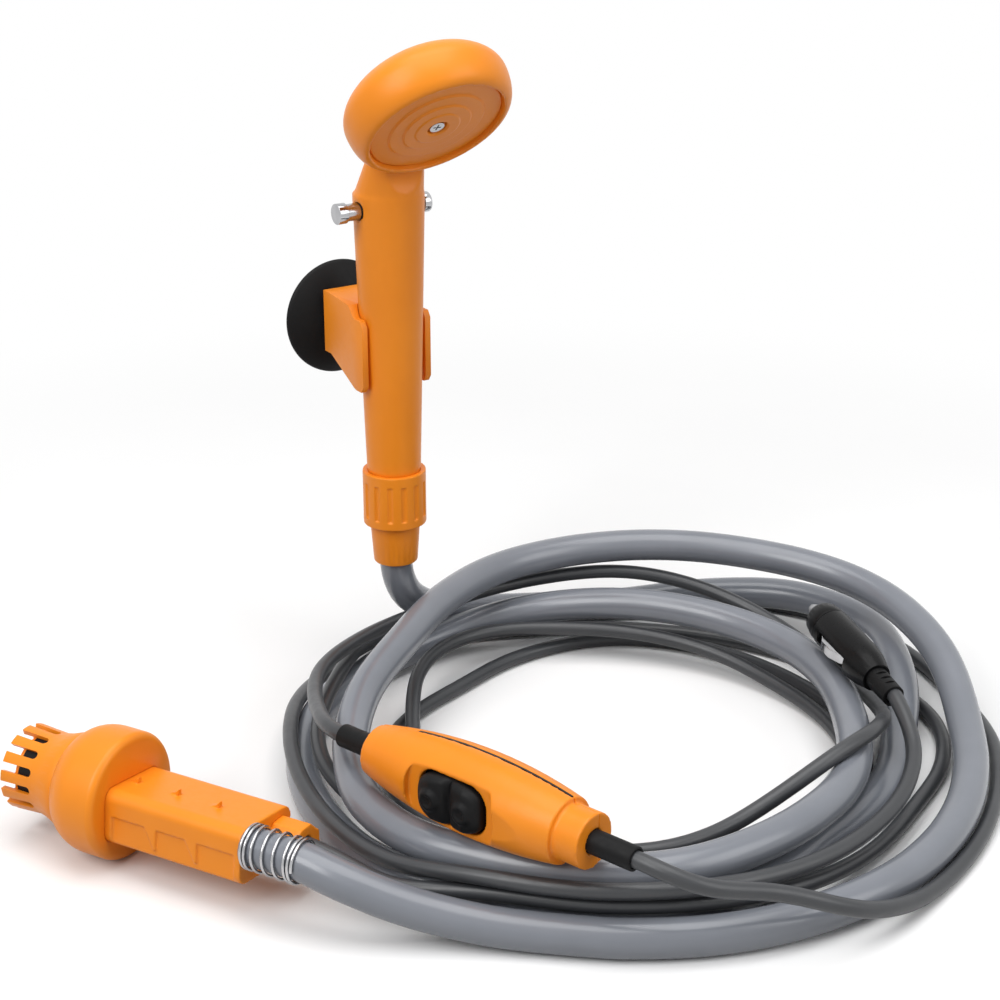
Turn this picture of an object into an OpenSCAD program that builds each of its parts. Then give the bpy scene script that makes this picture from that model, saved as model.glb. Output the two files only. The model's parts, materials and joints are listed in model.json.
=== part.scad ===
// Camp shower pump: a submersible pump, a hose, a hand shower in its suction holder,
// an in-line switch and a car plug, laid out with hose and cable in one loose coil.
// Millimetres, +Z up, the floor at Z = 0.

/* [Pump] */
// Diameter of the round pump head
drum_d = 55; // [53:1:57]
// Distance from the middle of the pump head to its front face
drum_front = 21; // [20:1:24]
// Distance from the middle of the pump head to its back face
drum_back = 5.5; // [5:0.5:8]
// Wall of the pump head
drum_wall = 2.5; // [2:0.1:3]
// Diameter of the seam between strainer and pump head
seam_d = 43; // [42:0.5:45]
// Width of the motor housing
housing_w = 35; // [34:0.5:38]
// Height of the motor housing
housing_h = 24; // [23.5:0.5:27]
// Distance from the middle of the pump head to the back of the motor housing
housing_end = 73; // [71:1:77]
// Wall of the motor housing
housing_wall = 2.2; // [1.8:0.1:2.4]
// Roll of the motor housing about the pump's axis
housing_roll = 7; // [0:1:9]
// Corner radius of the motor housing
housing_corner = 5; // [3:0.5:6]
// Depth of the recess in the flank of the motor housing
pocket_depth = 1.2; // [0.6:0.1:1.4]
// Outside diameter of the inlet neck that carries the strainer
inlet_d = 32; // [30:0.5:33]
// Distance from the middle of the pump head to the strainer's tip
strainer_tip = 50; // [48:1:54]
// Diameter of the strainer at its tip
strainer_tip_d = 37; // [36:0.5:38]
// Length of the strainer's slots
slot_len = 15; // [12:1:16]
// Width of the strainer's slots
slot_w = 3.6; // [2.4:0.2:4.2]
// Number of slots in the strainer
slot_count = 14; // [10:1:16]
// Diameter of the impeller
impeller_d = 28; // [22:1:30]
// Number of impeller blades
blade_count = 6; // [4:1:8]
// Diameter of the motor
motor_d = 18; // [16:0.5:18]
// Length of the motor
motor_len = 36; // [32:1:40]
// Diameter of the motor shaft
shaft_d = 2.4; // [2:0.1:3]
// Outside diameter of the outlet pipe
outlet_d = 8; // [7:0.5:8]
// Bore of the outlet pipe
outlet_bore = 5.6; // [4:0.2:6]
// Width of the cable gland
gland_w = 19; // [17:0.5:19]
// Height of the cable gland
gland_h = 22; // [20:1:23]
// Length of the cable gland
gland_len = 14; // [13:1:18]

/* [Hose and cable] */
// Outside diameter of the hose
hose_d = 16; // [15:0.2:16]
// Bore of the hose
hose_bore = 11.5; // [11.4:0.1:12.4]
// Diameter of the cable
cable_d = 7; // [6:0.2:7]
// Wire of the spring around the hose
spring_wire = 1.3; // [1:0.1:1.4]
// Length of the spring around the hose
spring_len = 25; // [22:1:28]

/* [Handset] */
// Diameter at the lower end of the handle
handle_low_d = 26.2; // [25.8:0.2:27]
// Diameter at the upper end of the handle
handle_high_d = 33.8; // [33.2:0.2:34.4]
// Wall between the handle's end and its water way
handle_wall = 6; // [5:0.5:7]
// Height of the handle's lower end
handle_low_z = 106; // [104:1:108]
// Height of the valve pin
valve_z = 235; // [230:1:238]
// Diameter of the shower head
head_d = 77; // [75:1:80]
// Thickness of the shower head
head_t = 33; // [31:1:35]
// Height of the middle of the spray face
head_z = 278; // [276:1:281]
// Reach of the spray face in front of the handle
head_reach = 45; // [43:1:47]
// Angle by which the spray face looks down
head_tilt = 46; // [44:1:49]
// Diameter of the spray face
face_d = 62.6; // [60:0.2:63]
// Thickness of the spray face
face_t = 4; // [3.5:0.5:5]
// Diameter of the valve pin
pin_d = 8; // [7:0.2:8.4]
// Diameter of the valve pin's end discs
pin_disc_d = 9.6; // [9:0.2:10.4]
// Travel of the valve pin
pin_travel = 6; // [5:0.5:7]
// Diameter of the union nut
nut_d = 30.8; // [30:0.2:32]
// Height of the union nut
nut_h = 27; // [25:1:28]
// Number of flutes around the union nut
flute_count = 14; // [10:1:18]
// Height of the hose tail's lower end
tail_z = 58; // [56:1:60]
// Diameter at the hose tail's lower end
tail_d = 21.5; // [20.6:0.1:22]

/* [Holder] */
// Wall of the holder's arms
arm_t = 3; // [2.6:0.2:3.4]
// Height of the holder's arms
arm_h = 35; // [33:1:38]
// Height of the middle of the holder
holder_z = 166; // [163:1:169]
// Reach of the holder behind the handle's middle
holder_reach = 39; // [37:1:42]
// Diameter of the suction cup
cup_d = 57; // [52:1:60]
// Depth of the suction cup
cup_depth = 14; // [12:1:16]
// Diameter of the cup's stud
stud_d = 5; // [4:0.5:6]

/* [Switch] */
// Length of the switch from its left end to the collar's end
switch_len = 113; // [110:1:116]
// Largest diameter of the switch body
switch_d = 36; // [35:0.5:38]
// Diameter of the switch at its ends
switch_end_d = 22; // [21:0.5:24]
// Width of the switch between its flanks
switch_w = 32; // [31:0.5:33]
// Wall of the switch shells
switch_wall = 2.2; // [1.8:0.1:2.4]
// Length of the rocker
rocker_l = 33; // [31:0.5:34]
// Height of the rocker
rocker_h = 21; // [20:0.5:22]
// Tilt of the rocker each way
rocker_tilt = 5; // [3:0.5:6]
// Diameter of the strain reliefs
relief_d = 10; // [9.6:0.2:11]
// Length of a strain relief outside the switch
relief_len = 20; // [18:1:22]

/* [Plug] */
// Length of the plug without its spring tip
plug_len = 74; // [70:1:78]
// Diameter of the plug's barrel
plug_d = 19.6; // [19:0.2:20.4]
// Diameter of the plug's tip contact
tip_d = 6.4; // [5.6:0.2:7]
// Travel of the plug's tip contact
tip_travel = 3; // [2:0.5:4]
// Length of the plug's side contacts
contact_len = 24; // [20:1:26]

/* [Fits] */
// Clearance around running pins and shafts
run_gap = 0.08; // [0.02:0.01:0.1]
// Clearance around pieces that are pressed or seated
seat_gap = 0.05; // [0.02:0.01:0.1]
// Clearance between pieces that move past each other
slide_gap = 0.3; // [0.25:0.05:0.4]

/* [Hidden] */
$fn = 64;

// Colours
orange = [0.93, 0.52, 0.16];
black = [0.08, 0.08, 0.09];
hose_grey = [0.52, 0.54, 0.57];
cable_grey = [0.31, 0.32, 0.33];
chrome = [0.8, 0.81, 0.83];
steel = [0.6, 0.61, 0.63];
brass = [0.78, 0.62, 0.3];
seal_red = [0.5, 0.16, 0.12];

// Shift that sets the layout over the origin
layout_x = -7.4;
layout_y = -2.8;

// Where the pieces lie: X, Y and the turn about Z
pump_x = -47.9;
pump_y = -87.4;
pump_turn = -29;
handset_x = 58.5;
handset_y = 91;
handset_turn = 33;
switch_x = 103;
switch_y = -122;
switch_z = 47.2;
switch_turn = -40;
plug_x = 286;
plug_y = -20;
plug_z = 38.5;
plug_turn = 108.4;
plug_rise = 5.9;

// Pump: places along its axis, from the middle of the pump head
drum_r = drum_d / 2;
seam_r = seam_d / 2;
front_shoulder = 13;
back_shoulder = 3.2;
shoulder_drop = drum_r - seam_r;
shoulder_r = (front_shoulder * front_shoulder + shoulder_drop * shoulder_drop) / (2 * shoulder_drop);
chamber_r = drum_r - drum_wall - 0.2;
throat_r = seam_r - 0.5;
throat_len = 9;
inlet_r = inlet_d / 2;
inlet_wall = 2.5;
inlet_len = 10;
cover_t = 3;
cover_r = seam_r - 2;
back_wall = 6;
flange_t = 4;
flange_back = drum_back - back_wall;
flange_front = flange_back - flange_t;
motor_y = 4;
housing_z = -3;
motor_z = housing_z - 0.5;
motor_front = flange_back + seat_gap;
motor_back = motor_front + motor_len;
motor_r = motor_d / 2;
can_wall = 1;
shaft_r = shaft_d / 2;
bearing_r = 3;
bearing_t = 3;
seal_r = 5;
impeller_back = flange_front - 2;
impeller_disc_t = 2;
blade_h = 5;
blade_front = impeller_back - impeller_disc_t - blade_h;
shaft_front = blade_front;
blade_t = 1.6;
hub_r = 4;
outlet_y = -11;
outlet_z = 2.5;
outlet_r = outlet_d / 2;
barb_len = 16;
barb_rise = 0.6;
gland_y = 8.5;
gland_z = -3.5;
gland_drop = 3;
gland_chamfer = 6;
gland_neck_r = 7.5;
gland_seal_r = 6.5;
gland_seal_len = 12;
strainer_wall_in = inlet_r + run_gap;
plate_back = strainer_tip - 7;
plate_t = 2;
pocket_count = 3;
gusset_count = 3;

// Hose and cables
hose_r = hose_d / 2;
cable_r = cable_d / 2;
cable_gap = 0.1;
spring_closed_turns = 2;
spring_open_turns = 3.5;
spring_close_gap = 0.45;
ring_step = 15;
tube_sides = 6;
curl_rings = 8;
spring_rings = 16;

// Coil: its middle, and route points as angle, distance from the middle and height
coil_x = 175;
coil_y = -16;
hose_knots = [
    [247, 153, 8], [270, 148, 8], [315, 143, 8], [360, 147, 16], [385, 156, 34], [405, 161, 42],
    [430, 153, 47], [450, 150, 47], [475, 141, 46], [495, 127, 46], [517, 119, 43], [540, 127, 36],
    [560, 137, 30], [572, 143, 27], [585, 143, 25.3], [598, 138, 25], [607, 135, 25], [630, 127, 25],
    [652, 113, 25], [675, 103, 25], [720, 93, 25], [765, 106, 26], [810, 119, 28], [833, 138, 20],
    [855, 151, 10], [877, 155, 8], [900, 154, 8], [922, 151.5, 8], [936, 150, 8], [945, 146, 8],
    [956, 139, 8], [967, 134, 8], [990, 130, 8], [1012, 115, 8], [1035, 103, 8], [1080, 115, 8],
    [1095, 128, 12], [1110, 148, 16], [1125, 171, 17], [1140, 177, 17], [1155, 171, 13],
    [1170, 162, 9], [1185, 162, 9]
];
pump_cable_knots = [
    [228, 162.5, 13], [238, 150.5, 16.5], [247, 144.5, 17], [258, 141.5, 16.5], [270, 139, 17],
    [292, 130, 12], [315, 122, 6], [340, 123, 4], [360, 137, 4], [375, 146, 4], [390, 147, 3.5],
    [408, 138, 3.5], [430, 139, 3.5], [450, 142, 3.5], [470, 150, 3.5], [485, 161, 4],
    [495, 164.5, 12.5], [506, 160, 20], [518, 152, 21.5], [530, 148.5, 20.5], [545, 147, 20.5],
    [555, 145, 19], [565, 137, 14], [576, 127, 7], [585, 120, 4], [607, 114, 4], [630, 108, 3.5],
    [652, 94, 3.5], [675, 89, 3.5], [705, 97.5, 3.5], [720, 102, 3.5], [765, 114, 3.5],
    [810, 130, 3.5], [837, 122, 3.5], [858, 113, 3.5], [878, 116, 3.5], [900, 119, 3.5],
    [927, 112, 3.5], [945, 109, 3.5], [967, 105, 4], [990, 98, 6], [1012, 84, 5], [1035, 80, 3.5],
    [1080, 94, 3.5], [1125, 100, 6], [1147, 105, 12], [1170, 111, 16], [1188, 120, 16.5],
    [1200, 129, 17], [1212, 132, 17], [1225, 126, 16], [1240, 113, 13], [1255, 105, 9],
    [1270, 102, 5], [1287, 101, 4], [1305, 99, 5], [1327, 96, 10.5], [1348, 96, 14.5],
    [1365, 87, 15], [1380, 82, 18], [1395, 87, 28], [1408, 95, 36.5], [1420, 102, 37],
    [1435, 107, 30], [1450, 111, 21], [1470, 121, 13], [1485, 131, 13], [1500, 141, 19],
    [1515, 146, 28], [1530, 148, 33.5], [1543, 148, 33], [1558, 148.5, 31], [1575, 146, 31],
    [1590, 149, 32], [1605, 153, 32.5], [1621, 148, 37], [1632, 146, 43]
];
plug_cable_knots = [
    [284, 157, 32], [290, 160.5, 27], [297, 162, 18], [305, 159, 10], [314, 155.5, 4.5],
    [324, 154, 3.5], [340, 155, 3.5], [354, 159, 3.5], [367, 165, 3.5], [378, 168, 3.5],
    [388, 173, 3.5], [400, 183, 3.5], [412, 189, 3.5], [425, 190, 3.5], [440, 184, 3.5],
    [455, 180, 3.5], [475, 184, 3.5], [490, 181, 3.5], [505, 174, 4], [525, 165.5, 14],
    [540, 160, 20], [555, 158, 20.5], [570, 157, 19], [585, 155, 18.5], [598, 150.5, 24.3],
    [607, 148, 25.2], [618, 145, 25], [630, 142, 25.5], [652, 131, 21], [675, 124, 20],
    [690, 123, 23], [705, 120.5, 28]
];
// Free points of the leads, from end to end of each
hose_lead_points = [[49, -152, 25.5], [70, -156.5, 17.5], [92, -158, 11.5]];
hose_riser_points = [
    [115, 136, 10], [96, 130, 16], [83, 118, 24.5], [70.5, 105.5, 35.5], [62.3, 95.5, 47]
];
pump_cable_points = [[55, -134, 18.5]];
switch_cable_points = [[34.5, -60, 46]];
plug_cable_points = [[175, -179.5, 45], [188, -180, 39.5]];
lead_straight = 26;

// Handset
handle_low_r = handle_low_d / 2;
handle_high_r = handle_high_d / 2;
handle_top_z = valve_z + 7;
water_r = handle_low_r - handle_wall - 0.6;
channel_r = 4.5;
screw_end_r = handle_low_r - 0.6;
nut_low_z = handle_low_z - nut_h - slide_gap;
nut_lip = 3.4;
tail_neck_r = tail_d / 2 - 0.3;
tail_high_r = handle_low_r - 0.9;
tail_flange_t = 3;
tail_flange_z = nut_low_z + nut_lip + slide_gap;
washer_t = 2;
washer_z = tail_flange_z + tail_flange_t;
screw_end_z = washer_z + washer_t;
socket_len = 14;
flute_r = 1.6;
head_r = head_d / 2;
face_r = face_d / 2;
rim_r = face_r + slide_gap;
rim_land = 0.8;
head_belly = 14;
crown_angle = 86;
cavity_r = face_r - 3;
cavity_depth = 20;
screw_boss_r = 4.5;
face_screw_r = 1.5;
face_screw_head_r = 3.4;
face_recess_r = 4.6;
face_recess = 2.4;
face_step = 0.8;
face_rings = [22.5, 16];
face_holes = [[23.7, 20], [17.2, 14]];
face_hole_d = 1;
neck_r = 11;
neck_t = 1.5;
neck_drop = 22;
neck_depth = 23;
neck_sink = 2.3;
scoop_y = -32;
scoop_z = 252;
scoop_r = 17;
channel_turn_z = 248;
channel_lean = 39;
channel_len = 32;
pin_r = pin_d / 2;
pin_disc_r = pin_disc_d / 2;
pin_disc_t = 4.5;
pin_cap_t = 4;
valve_handle_r = handle_low_r
    + (handle_high_r - handle_low_r) * (valve_z - handle_low_z) / (handle_top_z - handle_low_z);
pin_spare = 0.6;
pin_left = valve_handle_r + pin_travel + pin_spare + pin_disc_t;
pin_right = valve_handle_r + slide_gap;
pin_bore_r = pin_r + run_gap;
ring_r = 0.8;
ring_groove = 2 * ring_r + 0.2;
valve_rings = [1 - valve_handle_r, channel_r + 1.1];
pin_waist_len = pin_travel - 0.4;
pin_waist_x = valve_rings[0] + 1.2;

// Holder
handle_slope = (handle_high_r - handle_low_r) / (handle_top_z - handle_low_z);
holder_top = holder_z + arm_h / 2;
fork_r = handle_low_r + handle_slope * (holder_top - handle_low_z) + slide_gap + 0.1;
arm_front = 5;
back_half = 15;
back_t = 6;
back_rise = 5;
back_drop = 9.5;
stud_z = holder_z + 4;
stud_r = stud_d / 2;
stud_head_r = stud_r + 2.4;
stud_head_t = 3;
cup_r = cup_d / 2;
cup_neck_r = stud_r + 3.5;
cup_neck_len = 5;
cup_skin = 2.2;
cup_start = holder_reach + slide_gap;
cup_rim_t = 1.2;

// Switch
switch_r = switch_d / 2;
switch_end_r = switch_end_d / 2;
collar_len = 12;
switch_left = 57;
collar_start = switch_len - switch_left - collar_len;
switch_bow = (switch_r - switch_end_r) / (switch_left * switch_left);
collar_r = switch_end_r + 0.5;
switch_floor = 13.5;
seam_y = 3;
strip_t = 1.2;
strip_depth = 3;
strip_left = 36;
strip_right = collar_start - 1;
rocker_x = -5;
rocker_face = switch_w / 2 + 1;
rocker_t = 6.8;
rocker_corner = 8.5;
rocker_edge_gap = 0.4;
recess_floor = 12.8;
recess_rim = 5.5;
pad_t = 3.8;
pad_back = recess_floor - pad_t;
rocker_pivot = 8;
rocker_side_gap = (rocker_face - rocker_pivot) * sin(rocker_tilt) + 0.2;
rocker_pin_r = 1;
rocker_lug_w = 6;
rocker_lug_h = 14;
block_front = 6;
block_l = rocker_l + 2 * rocker_side_gap + 8;
ear_t = 2.5;
ear_z = rocker_lug_h / 2 + slide_gap;
block_h = 2 * (ear_z + ear_t);
terminal_x = 8;
screw_left_x = -37;
screw_right_x = 27;
shell_screw_r = 1.3;
shell_screw_head_r = 2.8;
shell_boss_r = 4;
screw_head_y = 9;
screw_tip_y = -6;
relief_r = relief_d / 2;
relief_bore_r = cable_r + cable_gap;
relief_flange_r = relief_r + 1.6;
relief_flange_t = 2;
relief_grip = switch_wall + slide_gap;

// Plug
plug_r = plug_d / 2;
plug_relief_len = 22;
plug_relief_r = 5.5;
plug_barrel_start = 16;
cap_len = 12;
cap_start = plug_len - cap_len;
plug_wall = 2.2;
cap_r = plug_r - 1.4;
tip_r = tip_d / 2;
tip_out = 8;
tip_shoulder_r = tip_r + 1.4;
tip_shoulder_t = 2;
fuse_r = 2.9;
fuse_len = 25;
tip_spring_wire = 0.8;
contact_w = 5;
contact_t = 0.8;
contact_start = 32;
contact_bow = 1.8;
fuse_seat = cap_start - 10;

// Shapes that repeat

function arc(x, y, r, from, to, steps) =
    [for (i = [0:steps]) let (a = from + (to - from) * i / steps) [x + r * cos(a), y + r * sin(a)]];

function ellipse_arc(x, y, rx, ry, from, to, steps) =
    [for (i = [0:steps]) let (a = from + (to - from) * i / steps) [x + rx * cos(a), y + ry * sin(a)]];

module along_x() {
    rotate([0, 90, 0]) children();
}

module along_y() {
    rotate([-90, 0, 0]) children();
}

module ring(outer, inner, len) {
    difference() {
        cylinder(r = outer, h = len);
        translate([0, 0, -1]) cylinder(r = inner, h = len + 2);
    }
}

module o_ring(middle, thick) {
    rotate_extrude() translate([middle, 0]) circle(thick, $fn = 24);
}

module rounded_rect(w, h, r) {
    square([w - 2 * r, h], center = true);
    square([w, h - 2 * r], center = true);
    for (x = [-1, 1], y = [-1, 1])
        translate([x * (w / 2 - r), y * (h / 2 - r)]) circle(r);
}

// A rounded bar along X, from x0 to x1
module bar_x(w, h, r, x0, x1) {
    translate([x0, 0, 0]) rotate([90, 0, 90]) linear_extrude(x1 - x0) rounded_rect(w, h, r);
}

// A rounded bar along Y, from y0 to y1
module bar_y(w, h, r, y0, y1) {
    translate([0, y1, 0]) rotate([90, 0, 0]) linear_extrude(y1 - y0) rounded_rect(w, h, r);
}

// Swept tubes

function unit(v) = v / norm(v);

function tangents(path) =
    let (last = len(path) - 1)
    [for (i = [0:last]) unit(path[min(i + 1, last)] - path[max(i - 1, 0)])];

function square_to(v, t) = unit(v - (v * t) * t);

function normals(t) =
    [for (i = 0, n = square_to([0, 0, 1], t[0]); i < len(t);
          i = i + 1, n = square_to(n, t[min(i, len(t) - 1)])) n];

function tube_points(path, r) =
    let (t = tangents(path), n = normals(t))
    [for (i = [0:len(path) - 1], k = [0:tube_sides - 1])
        let (a = 360 * k / tube_sides)
        path[i] + r * cos(a) * n[i] + r * sin(a) * cross(t[i], n[i])];

// Triangles of a tube's wall between the rings first and last, facing out or in
function wall_faces(first, last, base, out) =
    [for (i = [first:last - 1], k = [0:tube_sides - 1], half = [0, 1])
        let (next = (k + 1) % tube_sides,
             a = base + i * tube_sides + k,
             b = base + i * tube_sides + next,
             c = base + (i + 1) * tube_sides + next,
             d = base + (i + 1) * tube_sides + k,
             f = half == 0 ? [a, d, c] : [a, c, b])
        out ? f : [f[2], f[1], f[0]]];

function disc_faces(ring_index, at_end) =
    [for (k = [1:tube_sides - 2])
        let (o = ring_index * tube_sides)
        at_end ? [o, o + k + 1, o + k] : [o, o + k, o + k + 1]];

function annulus_faces(ring_index, inner_base, at_end) =
    [for (k = [0:tube_sides - 1], half = [0, 1])
        let (next = (k + 1) % tube_sides,
             a = ring_index * tube_sides + k,
             b = ring_index * tube_sides + next,
             f = half == 0 ? [a, b, inner_base + b] : [a, inner_base + b, inner_base + a])
        at_end ? [f[2], f[1], f[0]] : f];

// A solid cord along all of a path
module cord(path, r) {
    last = len(path) - 1;
    polyhedron(
        points = tube_points(path, r),
        faces = concat(wall_faces(0, last, 0, true), disc_faces(0, false), disc_faces(last, true)),
        convexity = 10);
}

// A hollow hose along the rings first to last of a path
module hose(path, r, bore, first, last) {
    inner_base = len(path) * tube_sides;
    polyhedron(
        points = concat(tube_points(path, r), tube_points(path, bore)),
        faces = concat(
            wall_faces(first, last, 0, true), wall_faces(first, last, inner_base, false),
            annulus_faces(first, inner_base, false), annulus_faces(last, inner_base, true)),
        convexity = 10);
}

// A route around the coil: smooth through its knots, a ring at each round angle

function knot_slope(k, i) =
    let (a = max(i - 1, 0), b = min(i + 1, len(k) - 1), span = k[b].x - k[a].x)
    [(k[b].y - k[a].y) / span, (k[b].z - k[a].z) / span];

function knot_before(k, angle) =
    max([for (i = [0:len(k) - 2]) k[i].x <= angle ? i : 0]);

function coil_point(k, angle, lowest) =
    let (i = knot_before(k, angle),
         span = k[i + 1].x - k[i].x,
         s = (angle - k[i].x) / span,
         from = [k[i].y, k[i].z],
         to = [k[i + 1].y, k[i + 1].z],
         v = (2 * pow(s, 3) - 3 * pow(s, 2) + 1) * from
             + (pow(s, 3) - 2 * pow(s, 2) + s) * span * knot_slope(k, i)
             + (3 * pow(s, 2) - 2 * pow(s, 3)) * to
             + (pow(s, 3) - pow(s, 2)) * span * knot_slope(k, i + 1))
    [coil_x + v.x * cos(angle), coil_y + v.x * sin(angle), max(v.y, lowest)];

function coil_route(k, lowest) =
    let (first = k[0].x, last = k[len(k) - 1].x, spare = 0.4 * ring_step)
    [for (a = concat(
            [first],
            [for (a = [ceil(first / ring_step) * ring_step:ring_step:last])
                if (a > first + spare && a < last - spare) a],
            [last]))
        coil_point(k, a, lowest)];

// Least distance between stretches of a route that lie at least apart rings from each other
function least_gap(path, apart, d) =
    min([for (i = [0:len(path) - 1 - apart], j = [i + apart:len(path) - 1]) norm(path[i] - path[j])]) - d;

// Places of the assemblies

function turned(v, turn) =
    [v.x * cos(turn) - v.y * sin(turn), v.x * sin(turn) + v.y * cos(turn), v.z];

function pump_point(v) = [pump_x, pump_y, drum_r] + turned(v, pump_turn);

function switch_point(v) = [switch_x, switch_y, switch_z] + turned(v, switch_turn);

function plug_point(along) =
    [plug_x, plug_y, plug_z]
    + turned([along * cos(plug_rise), 0, along * sin(plug_rise)], plug_turn);

module laid_out() {
    translate([layout_x, layout_y, 0]) children();
}

module at_pump() {
    laid_out() translate([pump_x, pump_y, drum_r]) rotate([0, 0, pump_turn]) children();
}

module at_motor() {
    at_pump() translate([0, motor_y, motor_z]) along_x() children();
}

module at_handset() {
    laid_out() translate([handset_x, handset_y, 0]) rotate([0, 0, handset_turn]) children();
}

// Frame of the spray face: +Z leaves the face, +Y points up along it
module at_face() {
    at_handset() translate([0, -head_reach, head_z]) rotate([90 + head_tilt, 0, 0]) children();
}

module at_valve() {
    at_handset() translate([0, 0, valve_z]) along_x() children();
}

module at_switch() {
    laid_out() translate([switch_x, switch_y, switch_z]) rotate([0, 0, switch_turn]) children();
}

module at_plug() {
    laid_out() translate([plug_x, plug_y, plug_z]) rotate([0, -plug_rise, plug_turn]) children();
}

// Routes of the hose and the cables

hose_start = [housing_end, outlet_y, outlet_z];
lead_route = concat(
    [pump_point(hose_start), pump_point(hose_start + [lead_straight, 0, 0])], hose_lead_points);
hose_coil_route = coil_route(hose_knots, hose_r);
riser_route = concat(
    hose_riser_points,
    [[handset_x, handset_y, tail_z], [handset_x, handset_y, tail_z + socket_len - 1]]);
hose_route = concat(lead_route, hose_coil_route, riser_route);
coil_first = len(lead_route);
coil_last = coil_first + len(hose_coil_route) - 1;

gland_face = [housing_end + gland_len, gland_y, gland_z];
pump_cable_route = concat(
    [pump_point(gland_face - [gland_seal_len, 0, 0]), pump_point(gland_face + [cable_d, 0, 0])],
    pump_cable_points,
    coil_route(pump_cable_knots, cable_r),
    switch_cable_points,
    [switch_point([-switch_left - relief_len - cable_d, 0, 0]),
     switch_point([-switch_left - relief_len / 2, 0, 0])]);
switch_right = switch_len - switch_left;
plug_cable_route = concat(
    [switch_point([switch_right + relief_len / 2, 0, 0]),
     switch_point([switch_right + relief_len + cable_d, 0, 0])],
    plug_cable_points,
    coil_route(plug_cable_knots, cable_r),
    [plug_point(-cable_d), plug_point(plug_relief_len / 2)]);

// Spring: closed turns, open turns, closed turns
spring_pitch = spring_wire + spring_close_gap;
spring_turns = 2 * spring_closed_turns + spring_open_turns;
spring_open_pitch = (spring_len - 2 * spring_closed_turns * spring_pitch) / spring_open_turns;
spring_r = hose_r + slide_gap + spring_wire / 2;

function spring_along(turn) =
    turn < spring_closed_turns ? turn * spring_pitch
    : turn < spring_closed_turns + spring_open_turns
        ? spring_closed_turns * spring_pitch + (turn - spring_closed_turns) * spring_open_pitch
        : spring_len - (spring_turns - turn) * spring_pitch;

spring_route =
    [for (i = [0:spring_turns * spring_rings])
        let (turn = i / spring_rings)
        [spring_along(turn), spring_r * cos(360 * turn), spring_r * sin(360 * turn)]];

echo(hose_self_gap = least_gap(hose_coil_route, 10, hose_d));
echo(pump_cable_self_gap = least_gap(pump_cable_route, 10, cable_d));
echo(plug_cable_self_gap = least_gap(plug_cable_route, 10, cable_d));
echo(spring_self_gap = least_gap(spring_route, spring_rings - 2, spring_wire));

// Pump

module strainer_basket() {
    tip_r = strainer_tip_d / 2;
    slot_end = strainer_tip - slot_len + slot_w / 2;
    color(orange) at_pump() along_x() difference() {
        union() {
            rotate_extrude() polygon([
                [strainer_wall_in, -drum_front - slide_gap], [seam_r - 0.7, -drum_front - slide_gap],
                [seam_r - 0.7, -drum_front - 3], [tip_r + 0.2, -drum_front - 9],
                [tip_r - 0.8, -strainer_tip + 15], [tip_r, -strainer_tip],
                [strainer_wall_in, -strainer_tip]
            ]);
            translate([0, 0, -plate_back - plate_t]) cylinder(r = strainer_wall_in + 0.6, h = plate_t);
        }
        for (i = [0:slot_count - 1])
            rotate([0, 0, 360 * (i + 0.5) / slot_count]) translate([strainer_wall_in - 1, 0, 0]) {
                translate([0, -slot_w / 2, -strainer_tip - 1])
                    cube([10, slot_w, slot_len - slot_w / 2 + 1]);
                translate([0, 0, -slot_end]) along_x() cylinder(d = slot_w, h = 10);
            }
        for (i = [0:6])
            rotate([0, 0, 60 * i]) translate([i == 6 ? 0 : 9, 0, -plate_back - plate_t - 1])
                cylinder(r = 3, h = plate_t + 2);
    }
}

module foam_filter() {
    color(black) at_pump() along_x()
        translate([0, 0, -plate_back + slide_gap / 2])
            cylinder(r = strainer_wall_in - seat_gap, h = plate_back - drum_front - inlet_len - slide_gap);
}

module inlet_cover() {
    color(orange) at_pump() along_x() {
        translate([0, 0, -drum_front]) ring(cover_r - seat_gap, inlet_r - inlet_wall, cover_t);
        translate([0, 0, -drum_front - inlet_len]) ring(inlet_r, inlet_r - inlet_wall, inlet_len + 1);
    }
}

module pump_head() {
    color(orange) at_pump() difference() {
        along_x() difference() {
            rotate_extrude() polygon(concat(
                [[0, -drum_front]],
                arc(drum_r - shoulder_r, -drum_front + front_shoulder, shoulder_r,
                    -asin(front_shoulder / shoulder_r), 0, 8),
                arc(drum_r - back_shoulder, drum_back - back_shoulder, back_shoulder, 0, 90, 10),
                [[0, drum_back]]));
            translate([0, 0, -drum_front - 1]) cylinder(r = cover_r, h = cover_t + 2);
            translate([0, 0, -drum_front + cover_t]) cylinder(r = throat_r, h = throat_len);
            translate([0, 0, -drum_front + throat_len])
                cylinder(r = chamber_r, h = flange_back + drum_front - throat_len);
        }
        rolled() bar_x(housing_w + 2 * seat_gap, housing_h + 2 * seat_gap, housing_corner,
            flange_back - 1, drum_back + 1);
    }
}

// The motor housing's own turn about the pump's axis
module rolled() {
    rotate([-housing_roll, 0, 0]) translate([0, 0, housing_z]) children();
}

// The recess under the ledge of the housing's flank, with slanted ribs across it
module flank_recess() {
    first = drum_back + 3;
    last = housing_end - 3;
    ledge_z = 1.2;
    rib_w = 4;
    rib_h = 9;
    rib_step = (last - first) / pocket_count;
    translate([0, pocket_depth - housing_w / 2, 0]) rotate([90, 0, 0]) linear_extrude(pocket_depth + 1)
        difference() {
            translate([first, -housing_h]) square([last - first, housing_h + ledge_z]);
            for (i = [1:pocket_count - 1])
                translate([first + i * rib_step, ledge_z])
                    polygon([[-rib_w, 0.1], [rib_w / 2, 0.1], [rib_w / 2, -rib_h], [rib_w / 4, -rib_h]]);
        }
}

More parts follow.
